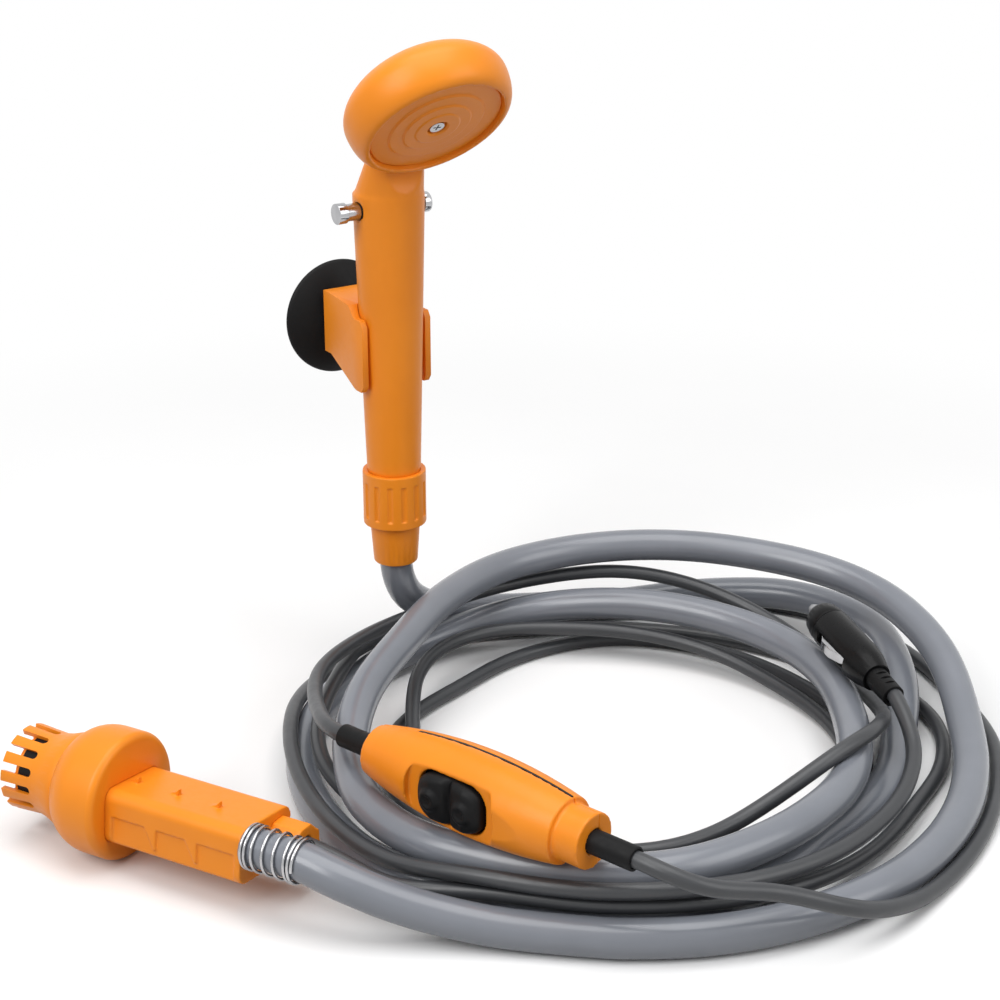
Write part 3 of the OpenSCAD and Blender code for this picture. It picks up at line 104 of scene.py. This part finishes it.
def add_noise(tree, scale, detail):
    coordinates = tree.nodes.new("ShaderNodeTexCoord")
    noise = tree.nodes.new("ShaderNodeTexNoise")
    noise.inputs["Scale"].default_value = scale
    noise.inputs["Detail"].default_value = detail
    noise.inputs["Roughness"].default_value = NOISE_ROUGHNESS
    tree.links.new(coordinates.outputs["Object"], noise.inputs["Vector"])
    return noise.outputs["Fac"]


def add_ramp(tree, factor, dark, light):
    ramp = tree.nodes.new("ShaderNodeValToRGB")
    for element, position, colour in zip(ramp.color_ramp.elements, (NOISE_LOW, NOISE_HIGH), (dark, light)):
        element.position = position
        element.color = (*colour, 1)
    tree.links.new(factor, ramp.inputs["Fac"])
    return ramp.outputs["Color"]


def add_range(tree, factor, low, high):
    span = tree.nodes.new("ShaderNodeMapRange")
    span.inputs["From Min"].default_value = NOISE_LOW
    span.inputs["From Max"].default_value = NOISE_HIGH
    span.inputs["To Min"].default_value = low
    span.inputs["To Max"].default_value = high
    tree.links.new(factor, span.inputs["Value"])
    return span.outputs["Result"]


def add_bump(tree, shader, factor, strength, distance):
    bump = tree.nodes.new("ShaderNodeBump")
    bump.inputs["Strength"].default_value = strength
    bump.inputs["Distance"].default_value = distance
    tree.links.new(factor, bump.inputs["Height"])
    tree.links.new(bump.outputs["Normal"], shader.inputs["Normal"])


def moulded(name, dark, light, rough, grain, bump, coat=0.0, specular=0.5):
    """A moulded plastic or rubber: slow colour drift, a fine grain in gloss and surface."""
    material, tree, shader = principled(name)
    tree.links.new(add_ramp(tree, add_noise(tree, 28, 3), dark, light), shader.inputs["Base Color"])
    tree.links.new(add_range(tree, add_noise(tree, grain / 3, 4), rough[0], rough[1]),
                   shader.inputs["Roughness"])
    add_bump(tree, shader, add_noise(tree, grain, 2), bump, 0.0002)
    shader.inputs["Coat Weight"].default_value = coat
    shader.inputs["Coat Roughness"].default_value = 0.2
    shader.inputs["Specular IOR Level"].default_value = specular
    return material


def metal(name, dark, light, rough, grain):
    """A plated or bare metal: slight tone drift, fine wear in its gloss."""
    material, tree, shader = principled(name)
    shader.inputs["Metallic"].default_value = 1
    tree.links.new(add_ramp(tree, add_noise(tree, 120, 3), dark, light), shader.inputs["Base Color"])
    tree.links.new(add_range(tree, add_noise(tree, grain, 4), rough[0], rough[1]),
                   shader.inputs["Roughness"])
    add_bump(tree, shader, add_noise(tree, grain, 2), 0.06, 0.0001)
    return material


MATERIALS = {
    "orange_plastic": moulded("orange_plastic", (0.84, 0.250, 0.010), (0.89, 0.274, 0.013), (0.36, 0.44),
                              1400, 0.05, coat=0.04, specular=0.32),
    "black_plastic": moulded("black_plastic", (0.003, 0.003, 0.0033), (0.006, 0.006, 0.0064), (0.26, 0.36),
                             1800, 0.06, specular=0.14),
    "black_rubber": moulded("black_rubber", (0.0025, 0.0025, 0.0027), (0.005, 0.005, 0.0054), (0.46, 0.58),
                            1200, 0.12, specular=0.16),
    "red_seal": moulded("red_seal", (0.26, 0.025, 0.018), (0.34, 0.035, 0.022), (0.45, 0.6), 900, 0.15),
    "grey_hose": moulded("grey_hose", (0.180, 0.193, 0.220), (0.204, 0.217, 0.246), (0.24, 0.26), 90, 0.004,
                         coat=0.2),
    "grey_cable": moulded("grey_cable", (0.034, 0.036, 0.040), (0.046, 0.048, 0.052), (0.34, 0.42), 700, 0.06),
    "chrome": metal("chrome", (0.40, 0.40, 0.41), (0.50, 0.50, 0.51), (0.10, 0.18), 900),
    "steel": metal("steel", (0.36, 0.36, 0.37), (0.46, 0.46, 0.47), (0.3, 0.42), 700),
    "brass": metal("brass", (0.50, 0.33, 0.11), (0.60, 0.40, 0.14), (0.25, 0.38), 700),
}
SLOT_OF = {s["node"]: s["material_slot"] for s in frame["record"]["subparts"]}
BODY_OF = {n: body for body, members in frame["record"]["behaviour"]["bodies"].items() for n in members}

for name, node in nodes.items():
    node.data.materials.clear()
    node.data.materials.append(MATERIALS[SLOT_OF[name]])


# Pieces
EDGE_SEGMENTS = 3


def finish_piece(obj, body, slot, *replaced):
    obj.data.materials.clear()
    obj.data.materials.append(MATERIALS[slot])
    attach(obj, body)
    if replaced:
        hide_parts(*replaced)
    return obj


def link_mesh(name, mesh):
    obj = bpy.data.objects.new(name, mesh)
    bpy.context.scene.collection.objects.link(obj)
    return obj


def apply_modifiers(obj):
    bpy.context.view_layer.update()
    depsgraph = bpy.context.evaluated_depsgraph_get()
    mesh = bpy.data.meshes.new_from_object(obj.evaluated_get(depsgraph))
    obj.modifiers.clear()
    obj.data = mesh
    return obj


def shade(obj, angle=35):
    """Smooth faces, with the edges sharper than the angle kept."""
    mesh = obj.data
    mesh.polygons.foreach_set("use_smooth", [True] * len(mesh.polygons))
    mesh.set_sharp_from_angle(angle=math.radians(angle))
    return obj


def closed_mesh(name, matrix, places, faces):
    """A new piece from points in an assembly's millimetres, with its faces turned outward."""
    mesh = bpy.data.meshes.new(name)
    mesh.from_pydata([tuple(point(matrix, *p)) for p in places], [], faces)
    work = bmesh.new()
    work.from_mesh(mesh)
    bmesh.ops.recalc_face_normals(work, faces=work.faces)
    work.to_mesh(mesh)
    work.free()
    return link_mesh(name, mesh)


def copy_of(node, name):
    mesh = nodes[node].data.copy()
    work = bmesh.new()
    work.from_mesh(mesh)
    bmesh.ops.remove_doubles(work, verts=work.verts, dist=0.00001)
    work.to_mesh(mesh)
    work.free()
    return link_mesh(name, mesh)


def edged(node, width):
    """The node's own shape with its hard edges broken by a small round, in millimetres."""
    obj = copy_of(node, node + "_moulded")
    work = bmesh.new()
    work.from_mesh(obj.data)
    bmesh.ops.dissolve_limit(work, angle_limit=math.radians(1.5), verts=work.verts, edges=work.edges)
    work.to_mesh(obj.data)
    work.free()
    bevel = obj.modifiers.new("edge", "BEVEL")
    bevel.width = width * MM
    bevel.segments = EDGE_SEGMENTS
    bevel.limit_method = "ANGLE"
    bevel.angle_limit = math.radians(38)
    apply_modifiers(obj)
    shade(obj, 40)
    return finish_piece(obj, BODY_OF[node], SLOT_OF[node], node)


def softened(node, voxel, rounds):
    """The node's own shape as one soft moulding: even small faces, then relaxed."""
    obj = copy_of(node, node + "_moulded")
    remesh = obj.modifiers.new("even", "REMESH")
    remesh.mode = "VOXEL"
    remesh.voxel_size = voxel * MM
    smooth = obj.modifiers.new("relax", "SMOOTH")
    smooth.factor = 0.5
    smooth.iterations = rounds
    apply_modifiers(obj)
    shade(obj, 180)
    return finish_piece(obj, BODY_OF[node], SLOT_OF[node], node)


# Hose and cables


# Each knot is an angle about the coil's middle in degrees, a radius and a height
HOSE_KNOTS = [
    (247, 153, 8), (270, 148, 8), (315, 143, 8), (360, 147, 16), (385, 156, 34), (405, 161, 42),
    (430, 153, 47), (450, 150, 47), (475, 141, 46), (495, 127, 46), (517, 119, 43), (540, 127, 36),
    (560, 137, 30), (572, 143, 27), (585, 143, 25.3), (598, 138, 25), (607, 135, 25), (630, 127, 25),
    (652, 113, 25), (675, 103, 25), (720, 93, 25), (765, 106, 26), (810, 119, 28), (833, 138, 20),
    (855, 151, 10), (877, 155, 8), (900, 154, 8), (922, 151.5, 8), (936, 150, 8), (945, 146, 8),
    (956, 139, 8), (967, 134, 8), (990, 130, 8), (1012, 115, 8), (1035, 103, 8), (1080, 115, 8),
    (1095, 128, 12), (1110, 148, 16), (1125, 171, 17), (1140, 177, 17), (1155, 171, 13),
    (1170, 162, 9), (1185, 162, 9),
]
PUMP_CABLE_KNOTS = [
    (228, 162.5, 13), (238, 150.5, 16.5), (247, 144.5, 17), (258, 141.5, 16.5), (270, 139, 17),
    (292, 130, 12), (315, 122, 6), (340, 123, 4), (360, 137, 4), (375, 146, 4), (390, 147, 3.5),
    (408, 138, 3.5), (430, 139, 3.5), (450, 142, 3.5), (470, 150, 3.5), (485, 161, 4),
    (495, 164.5, 12.5), (506, 160, 20), (518, 152, 21.5), (530, 148.5, 20.5), (545, 147, 20.5),
    (555, 145, 19), (565, 137, 14), (576, 127, 7), (585, 120, 4), (607, 114, 4), (630, 108, 3.5),
    (652, 94, 3.5), (675, 89, 3.5), (705, 97.5, 3.5), (720, 102, 3.5), (765, 114, 3.5),
    (810, 130, 3.5), (837, 122, 3.5), (858, 113, 3.5), (878, 116, 3.5), (900, 119, 3.5),
    (927, 112, 3.5), (945, 109, 3.5), (967, 105, 4), (990, 98, 6), (1012, 84, 5), (1035, 80, 3.5),
    (1080, 94, 3.5), (1125, 100, 6), (1147, 105, 12), (1170, 111, 16), (1188, 120, 16.5),
    (1200, 129, 17), (1212, 132, 17), (1225, 126, 16), (1240, 113, 13), (1255, 105, 9),
    (1270, 102, 5), (1287, 101, 4), (1305, 99, 5), (1327, 96, 10.5), (1348, 96, 14.5),
    (1365, 87, 15), (1380, 82, 18), (1395, 87, 28), (1408, 95, 36.5), (1420, 102, 37),
    (1435, 107, 30), (1450, 111, 21), (1470, 121, 13), (1485, 131, 13), (1500, 141, 19),
    (1515, 146, 28), (1530, 148, 33.5), (1543, 148, 33), (1558, 148.5, 31), (1575, 146, 31),
    (1590, 149, 32), (1605, 153, 32.5), (1621, 148, 37), (1632, 146, 43),
]
PLUG_CABLE_KNOTS = [
    (284, 157, 32), (290, 160.5, 27), (297, 162, 18), (305, 159, 10), (314, 155.5, 4.5),
    (324, 154, 3.5), (340, 155, 3.5), (354, 159, 3.5), (367, 165, 3.5), (378, 168, 3.5),
    (388, 173, 3.5), (400, 183, 3.5), (412, 189, 3.5), (425, 190, 3.5), (440, 184, 3.5),
    (455, 180, 3.5), (475, 184, 3.5), (490, 181, 3.5), (505, 174, 4), (525, 165.5, 14),
    (540, 160, 20), (555, 158, 20.5), (570, 157, 19), (585, 155, 18.5), (598, 150.5, 24.3),
    (607, 148, 25.2), (618, 145, 25), (630, 142, 25.5), (652, 131, 21), (675, 124, 20),
    (690, 123, 23), (705, 120.5, 28),
]
HOUSING_END = 73
OUTLET_Y, OUTLET_Z = -11, 2.5
GLAND_FACE, GLAND_Y, GLAND_Z = 87, 8.5, -3.5
SWITCH_LEFT, SWITCH_RIGHT, RELIEF_LEN = 57, 56, 20
TAIL_Z = 58
COIL_STEP = 5
RELAX_STEP, RELAX_ROUNDS, RELAX_ENDS = 4, 12, 4


def knot_slope(knots, i):
    a, b = knots[max(i - 1, 0)], knots[min(i + 1, len(knots) - 1)]
    return ((b[1] - a[1]) / (b[0] - a[0]), (b[2] - a[2]) / (b[0] - a[0]))


def coil_point(knots, angle, lowest):
    i = max(k for k in range(len(knots) - 1) if knots[k][0] <= angle or k == 0)
    (a, ra, za), (b, rb, zb) = knots[i], knots[i + 1]
    span, s = b - a, (angle - a) / (b - a)
    from_slope, to_slope = knot_slope(knots, i), knot_slope(knots, i + 1)
    weights = (2 * s**3 - 3 * s**2 + 1, s**3 - 2 * s**2 + s, 3 * s**2 - 2 * s**3, s**3 - s**2)
    r = weights[0] * ra + weights[1] * span * from_slope[0] + weights[2] * rb + weights[3] * span * to_slope[0]
    z = weights[0] * za + weights[1] * span * from_slope[1] + weights[2] * zb + weights[3] * span * to_slope[1]
    turn = math.radians(angle)
    place = COIL_AT + Vector((r * math.cos(turn), r * math.sin(turn), max(z, lowest)))
    return GROUND @ place


def coil_route(knots, lowest):
    first, last = knots[0][0], knots[-1][0]
    spare = 0.4 * COIL_STEP
    inside = [k * COIL_STEP for k in range(int(first / COIL_STEP), int(last / COIL_STEP) + 2)]
    angles = [first] + [a for a in inside if first + spare < a < last - spare] + [last]
    return [coil_point(knots, a, lowest) for a in angles]


def straight(a, b, parts):
    return [a.lerp(b, i / parts) for i in range(parts)]


def eased(points, parts):
    """One smooth line through all the points."""
    line = []
    for i in range(len(points) - 1):
        before, a = points[max(i - 1, 0)], points[i]
        b, after = points[i + 1], points[min(i + 2, len(points) - 1)]
        for k in range(parts):
            t = k / parts
            line.append(0.5 * (2 * a + (b - before) * t + (2 * before - 5 * a + 4 * b - after) * t**2
                               + (3 * a - before - 3 * b + after) * t**3))
    return line + [points[-1]]


def relaxed(line):
    """The line at even steps with its short kinks eased out, as a cable's stiffness does; its ends stay."""
    parts = round(line_length(line) / (RELAX_STEP * MM))
    step, even, spare = line_length(line) / parts, [line[0]], 0.0
    for a, b in zip(line, line[1:]):
        span = (b - a).length
        along = step - spare
        while along <= span and len(even) < parts:
            even.append(a.lerp(b, along / span))
            along += step
        spare = span - (along - step)
    even.append(line[-1])
    keep = RELAX_ENDS
    for _ in range(RELAX_ROUNDS):
        middle = [0.25 * a + 0.5 * b + 0.25 * c for a, b, c in zip(even, even[1:], even[2:])]
        even = even[:keep] + middle[keep - 1:len(even) - keep - 1] + even[-keep:]
    return even


def tube(name, line, radius, sides=6):
    curve = bpy.data.curves.new(name, "CURVE")
    curve.dimensions = "3D"
    curve.bevel_depth = radius * MM
    curve.bevel_resolution = sides
    curve.use_fill_caps = True
    spline = curve.splines.new("POLY")
    spline.points.add(len(line) - 1)
    for place, spot in zip(spline.points, line):
        place.co = (*spot, 1)
    spline.use_smooth = True
    obj = bpy.data.objects.new(name, curve)
    bpy.context.scene.collection.objects.link(obj)
    return obj


def line_length(line):
    return sum((b - a).length for a, b in zip(line, line[1:]))


LEAD_STRAIGHT, TAIL_DEPTH, CABLE_STRAIGHT = 26, 13, 7
GLAND_DEPTH, PLUG_DEPTH = 12, 11
HOSE_LEAD = [(49, -151.5, 25.5), (70, -155, 18), (92, -156.8, 12), (115, -159.3, 8.8)]
HOSE_RISER = [(116, 136.5, 10), (100, 130, 12.5), (85.5, 120.5, 17.5), (73, 108.5, 25), (64, 98.2, 35.5),
              (59.8, 92.8, 47)]
PLUG_CABLE_LEAD = [(175, -179.5, 45), (188, -180, 39.5)]
hose_start = point(PUMP, HOUSING_END, OUTLET_Y, OUTLET_Z)
hose_line = eased(
    straight(hose_start, point(PUMP, HOUSING_END + LEAD_STRAIGHT, OUTLET_Y, OUTLET_Z), 3)
    + [point(PUMP, HOUSING_END + LEAD_STRAIGHT, OUTLET_Y, OUTLET_Z)]
    + [point(GROUND, *p) for p in HOSE_LEAD]
    + coil_route(HOSE_KNOTS, HOSE_R)[3:]
    + [point(GROUND, *p) for p in HOSE_RISER]
    + [point(HANDSET, 0, 0, TAIL_Z), point(HANDSET, 0, 0, TAIL_Z + TAIL_DEPTH)], 3)
hose = finish_piece(tube("hose", hose_line, HOSE_R, 10), "base", "grey_hose",
                    "hose_lead", "hose_coil", "hose_riser")

gland_inside = point(PUMP, GLAND_FACE - GLAND_DEPTH, GLAND_Y, GLAND_Z)
pump_cable_line = relaxed(eased(
    straight(gland_inside, point(PUMP, GLAND_FACE + CABLE_STRAIGHT, GLAND_Y, GLAND_Z), 3)
    + [point(PUMP, GLAND_FACE + CABLE_STRAIGHT, GLAND_Y, GLAND_Z), point(GROUND, 55, -134, 18.5)]
    + coil_route(PUMP_CABLE_KNOTS, CABLE_R)
    + [point(GROUND, 34.5, -60, 46)]
    + [point(SWITCH, -SWITCH_LEFT - RELIEF_LEN - CABLE_STRAIGHT, 0, 0),
       point(SWITCH, -SWITCH_LEFT - RELIEF_LEN / 2, 0, 0)], 3))
pump_cable = finish_piece(tube("pump_cable_line", pump_cable_line, CABLE_R), "base", "grey_cable",
                          "pump_cable")

switch_inside = point(SWITCH, SWITCH_RIGHT + RELIEF_LEN / 2, 0, 0)
plug_cable_line = relaxed(eased(
    straight(switch_inside, point(SWITCH, SWITCH_RIGHT + RELIEF_LEN + CABLE_STRAIGHT, 0, 0), 3)
    + [point(SWITCH, SWITCH_RIGHT + RELIEF_LEN + CABLE_STRAIGHT, 0, 0)]
    + [point(GROUND, *p) for p in PLUG_CABLE_LEAD]
    + coil_route(PLUG_CABLE_KNOTS, CABLE_R)
    + [point(PLUG, -CABLE_STRAIGHT, 0, 0), point(PLUG, PLUG_DEPTH, 0, 0)], 3))
plug_cable = finish_piece(tube("plug_cable_line", plug_cable_line, CABLE_R), "base", "grey_cable",
                          "plug_cable")

# Spring around the hose at the pump
SPRING_WIRE, SPRING_LEN = 1.3, 25
SPRING_CLOSED, SPRING_OPEN = 2, 3.5
SPRING_GAP, SPRING_PLAY, SPRING_OFFSET = 0.45, 0.3, 0.95
SPRING_PITCH = SPRING_WIRE + SPRING_GAP
SPRING_TURNS = 2 * SPRING_CLOSED + SPRING_OPEN
SPRING_R = HOSE_R + SPRING_PLAY + SPRING_WIRE / 2
SPRING_RINGS = 40


def spring_along(turn):
    open_pitch = (SPRING_LEN - 2 * SPRING_CLOSED * SPRING_PITCH) / SPRING_OPEN
    if turn < SPRING_CLOSED:
        return turn * SPRING_PITCH
    if turn < SPRING_CLOSED + SPRING_OPEN:
        return SPRING_CLOSED * SPRING_PITCH + (turn - SPRING_CLOSED) * open_pitch
    return SPRING_LEN - (SPRING_TURNS - turn) * SPRING_PITCH


spring_line = []
for i in range(int(SPRING_TURNS * SPRING_RINGS) + 1):
    turn = i / SPRING_RINGS
    swing = 2 * math.pi * turn
    spring_line.append(point(PUMP, HOUSING_END + SPRING_OFFSET + spring_along(turn),
                             OUTLET_Y + SPRING_R * math.cos(swing), OUTLET_Z + SPRING_R * math.sin(swing)))
finish_piece(tube("spring_wire", spring_line, SPRING_WIRE / 2, 4), "base", "chrome", "hose_spring")

# Hand shower, holder, switch, pump and plug: the solids with moulded edges
softened("handset_shell", 0.8, 8)

HEAD_REACH, HEAD_Z, HEAD_TILT = 45, 278, 46
FACE_TURN = Matrix.Rotation(math.radians(90 + HEAD_TILT), 4, "X")
FACE = HANDSET @ Matrix.Translation((0, -HEAD_REACH, HEAD_Z)) @ FACE_TURN


def lathe(name, matrix, profile, spokes):
    """A closed outline of (radius, height) points turned about an assembly's Z axis."""
    places, faces, count = [], [], len(profile)
    for spoke in range(spokes):
        turn = 2 * math.pi * spoke / spokes
        places += [(r * math.cos(turn), r * math.sin(turn), z) for r, z in profile]
    for spoke in range(spokes):
        here, there = spoke * count, (spoke + 1) % spokes * count
        faces += [(here + k, here + (k + 1) % count, there + (k + 1) % count, there + k) for k in range(count)]
    return shade(closed_mesh(name, matrix, places, faces), 50)


# Spray face: stepped rings with rolled edges around the screw's recess
RING_STEPS = ((10.5, 0.45), (16, 0.75), (22.5, 0.75))
FACE_FRONT, FACE_BACK, FACE_RIM, RECESS_RIM, RECESS_FLOOR = -0.4, -4, 31.2, 4.6, -2.8
FACE_PARTS, FACE_SPOKES, SCREW_R = 133, 160, 1.6


def face_height(r):
    """The face's height at a radius: rolled edges at its recess and rim, and a rolled step at each ring."""
    height = FACE_FRONT - 0.9 * max(0, 1 - (r - RECESS_RIM) / 0.9)**2
    height -= 0.6 * max(0, 1 - (FACE_RIM - r) / 0.8)**2
    for ring, drop in RING_STEPS:
        s = min(max((r - ring) / 0.9 + 0.5, 0), 1)
        height -= drop * (3 - 2 * s) * s * s
    return height


face_outline = [(RECESS_RIM, RECESS_FLOOR)]
for k in range(FACE_PARTS + 1):
    spot = RECESS_RIM + (FACE_RIM - RECESS_RIM) * k / FACE_PARTS
    face_outline.append((spot, face_height(spot)))
face_outline += [(FACE_RIM, FACE_BACK), (SCREW_R, FACE_BACK), (SCREW_R, RECESS_FLOOR)]
finish_piece(lathe("spray_rings", FACE, face_outline, FACE_SPOKES), BODY_OF["spray_face"], "orange_plastic",
             "spray_face")
softened("union_nut", 0.35, 4)
edged("hose_tail", 0.8)
edged("holder_clip", 0.9)
edged("strainer_basket", 0.4)
edged("pump_head", 0.6)
softened("motor_housing", 0.55, 2)
softened("cable_gland", 0.5, 6)

# Three small fins on top of the motor housing
HOUSING_ROLL, HOUSING_Z, HOUSING_H = 7, -3, 24
HOUSING_TURN = Matrix.Rotation(math.radians(-HOUSING_ROLL), 4, "X")
HOUSING_TOP = PUMP @ HOUSING_TURN @ Matrix.Translation((0, 0, HOUSING_Z + HOUSING_H / 2))
FIN_FIRST, FIN_STEP, FIN_COUNT = 6.5, 20.5, 3
FIN_LEN, FIN_RISE, FIN_W, FIN_Y, FIN_ROOT = 5.4, 2.8, 2.6, -2, 0.6


def housing_fins():
    places, faces = [], []
    for fin in range(FIN_COUNT):
        x, base = FIN_FIRST + fin * FIN_STEP, len(places)
        outline = [(x, -FIN_ROOT), (x + FIN_LEN, -FIN_ROOT), (x + FIN_LEN, FIN_RISE),
                   (x + 0.7 * FIN_LEN, 0.4 * FIN_RISE)]
        for y in (FIN_Y - FIN_W, FIN_Y):
            places += [tuple(point(HOUSING_TOP, px, y, pz)) for px, pz in outline]
        faces += [tuple(base + k for k in (3, 2, 1, 0)), tuple(base + 4 + k for k in (0, 1, 2, 3))]
        faces += [(base + k, base + (k + 1) % 4, base + 4 + (k + 1) % 4, base + 4 + k) for k in range(4)]
    mesh = bpy.data.meshes.new("housing_fins")
    mesh.from_pydata(places, [], faces)
    obj = link_mesh("housing_fins", mesh)
    bevel = obj.modifiers.new("edge", "BEVEL")
    bevel.width = 0.4 * MM
    bevel.segments = EDGE_SEGMENTS
    return finish_piece(shade(apply_modifiers(obj), 40), "base", "orange_plastic")


housing_fins()
softened("switch_front_shell", 0.55, 5)
softened("switch_rear_shell", 0.55, 5)

# Rocker boot: two lobes with a groove between them, a dimpled bump on each
BOOT_X, BOOT_FACE, BOOT_BACK = -5, 16.4, 10.4
BOOT_L, BOOT_H = 33, 21
BOOT_RINGS, BOOT_SPOKES, BOOT_POWER = 44, 144, 3.2
BUMP_X, BUMP_R = 8.4, 4.6


def boot_face(x, z, r):
    """How far the boot's face stands out at a point, in millimetres; r is 1 on the outline."""
    swell = 1.5 * (1 - abs(abs(x) - BUMP_X) / 9.5) - 0.012 * z * z
    groove = 2.4 * math.exp(-(x / 1.5)**2)
    d = math.hypot(abs(x) - BUMP_X, z)
    bump = 1.7 * math.exp(-(d / BUMP_R)**6) - 1.1 * math.exp(-(d / 2.5)**4)
    shoulder = 3.2 * (1 - (1 - max(0, (r - 0.72) / 0.28)**2.4)**0.5)
    return BOOT_FACE + swell - groove + bump - shoulder


def rocker_boot():
    def spread(value):
        return math.copysign(abs(value)**(2 / BOOT_POWER), value)
    places, faces = [(BOOT_X, -boot_face(0, 0, 0), 0)], []
    for ring in range(1, BOOT_RINGS + 1):
        r = math.sin(math.pi / 2 * ring / BOOT_RINGS)
        for spoke in range(BOOT_SPOKES):
            turn = 2 * math.pi * spoke / BOOT_SPOKES
            x = BOOT_L / 2 * r * spread(math.cos(turn))
            z = BOOT_H / 2 * r * spread(math.sin(turn))
            places.append((BOOT_X + x, -boot_face(x, z, r), z))
    for ring_y in (BOOT_BACK + 1, BOOT_BACK):
        for spoke in range(BOOT_SPOKES):
            x, _, z = places[1 + (BOOT_RINGS - 1) * BOOT_SPOKES + spoke]
            places.append((x, -ring_y, z))
    for spoke in range(BOOT_SPOKES):
        after = (spoke + 1) % BOOT_SPOKES
        faces.append((0, 1 + spoke, 1 + after))
        for ring in range(BOOT_RINGS + 1):
            low, high = 1 + ring * BOOT_SPOKES, 1 + (ring + 1) * BOOT_SPOKES
            faces.append((low + spoke, high + spoke, high + after, low + after))
    faces.append(tuple(1 + (BOOT_RINGS + 1) * BOOT_SPOKES + spoke for spoke in reversed(range(BOOT_SPOKES))))
    boot = closed_mesh("rocker_boot", SWITCH, places, faces)
    return finish_piece(shade(boot, 60), BODY_OF["rocker"], "black_rubber", "rocker")


rocker_boot()
edged("suction_cup", 0.4)
edged("valve_pin", 0.5)
edged("pin_cap", 0.6)
edged("left_relief", 0.6)
edged("right_relief", 0.6)
edged("plug_barrel", 0.6)
edged("plug_cap", 0.6)
edged("plug_relief", 0.4)
edged("tip_contact", 0.4)
edged("left_contact", 0.3)
edged("right_contact", 0.3)
for name in nodes:
    if not nodes[name].hide_render:
        shade(nodes[name])


# Floor and light, in metres
LOOK_AT = (0.09, -0.02, 0.1)
FLOOR_HALF, FLOOR_DROP, FLOOR_BLEND = 6, 0.0002, (0.32, 0.75)
WORLD_DIM = 0.3


def add_seen(tree):
    """1 for the rays that show the background: seen directly, mirrored or through a clear piece."""
    path = tree.nodes.new("ShaderNodeLightPath")
    rays = ("Is Camera Ray", "Is Glossy Ray", "Is Transmission Ray")
    seen = path.outputs[rays[0]]
    for ray in rays[1:]:
        either = tree.nodes.new("ShaderNodeMath")
        either.operation = "MAXIMUM"
        tree.links.new(seen, either.inputs[0])
        tree.links.new(path.outputs[ray], either.inputs[1])
        seen = either.outputs[0]
    return seen


def pale_floor():
    """Pale paper that keeps the shadow near the object and runs into the white background far off."""
    material, tree, shader = principled("floor_paper")
    seen = add_seen(tree)
    paper = tree.nodes.new("ShaderNodeMix")
    paper.data_type = "RGBA"
    colours = [i for i in paper.inputs if i.type == "RGBA"]
    colours[0].default_value = (0.42, 0.42, 0.42, 1)
    tree.links.new(add_ramp(tree, add_noise(tree, 6, 3), (0.93, 0.93, 0.93), (0.95, 0.95, 0.95)), colours[1])
    tree.links.new(seen, paper.inputs["Factor"])
    tree.links.new([o for o in paper.outputs if o.type == "RGBA"][0], shader.inputs["Base Color"])
    shader.inputs["Roughness"].default_value = 0.9
    shader.inputs["Specular IOR Level"].default_value = 0.0
    place = tree.nodes.new("ShaderNodeNewGeometry")
    away = tree.nodes.new("ShaderNodeVectorMath")
    away.operation = "DISTANCE"
    away.inputs[1].default_value = LOOK_AT[:2] + (0,)
    tree.links.new(place.outputs["Position"], away.inputs[0])
    far = tree.nodes.new("ShaderNodeMapRange")
    far.interpolation_type = "SMOOTHSTEP"
    far.inputs["From Min"].default_value = FLOOR_BLEND[0]
    far.inputs["From Max"].default_value = FLOOR_BLEND[1]
    tree.links.new(away.outputs["Value"], far.inputs["Value"])
    share = tree.nodes.new("ShaderNodeMath")
    share.operation = "MULTIPLY"
    tree.links.new(far.outputs["Result"], share.inputs[0])
    tree.links.new(seen, share.inputs[1])
    white = tree.nodes.new("ShaderNodeEmission")
    white.inputs["Color"].default_value = (1, 1, 1, 1)
    white.inputs["Strength"].default_value = 1
    blend = tree.nodes.new("ShaderNodeMixShader")
    tree.links.new(share.outputs[0], blend.inputs["Fac"])
    tree.links.new(shader.outputs["BSDF"], blend.inputs[1])
    tree.links.new(white.outputs["Emission"], blend.inputs[2])
    tree.links.new(blend.outputs["Shader"], tree.nodes["Material Output"].inputs["Surface"])
    mesh = bpy.data.meshes.new("floor")
    corners = [(-FLOOR_HALF, -FLOOR_HALF, 0), (FLOOR_HALF, -FLOOR_HALF, 0), (FLOOR_HALF, FLOOR_HALF, 0),
               (-FLOOR_HALF, FLOOR_HALF, 0)]
    mesh.from_pydata(corners, [], [(0, 1, 2, 3)])
    floor = link_mesh("floor", mesh)
    floor.location.z = -FLOOR_DROP
    mesh.materials.append(material)


def area_light(name, place, target, size, power):
    light = bpy.data.lights.new(name, "AREA")
    light.size = size
    light.energy = power
    obj = bpy.data.objects.new(name, light)
    obj.location = place
    obj.rotation_euler = (Vector(target) - Vector(place)).to_track_quat("-Z", "Y").to_euler()
    bpy.context.scene.collection.objects.link(obj)


def studio_world():
    world = bpy.data.worlds.new("studio")
    world.use_nodes = True
    tree = world.node_tree
    back = tree.nodes["Background"]
    back.inputs["Color"].default_value = (1, 1, 1, 1)
    strength = tree.nodes.new("ShaderNodeMapRange")
    strength.inputs["To Min"].default_value = WORLD_DIM
    strength.inputs["To Max"].default_value = 1.0
    tree.links.new(add_seen(tree), strength.inputs["Value"])
    tree.links.new(strength.outputs["Result"], back.inputs["Strength"])
    bpy.context.scene.world = world


pale_floor()
studio_world()
area_light("top", (0.1, -0.15, 1.7), LOOK_AT, 1.5, 20)
area_light("key", (-0.8, -1.0, 1.2), LOOK_AT, 0.9, 14)
area_light("fill", (1.3, -0.6, 0.9), LOOK_AT, 0.9, 6)
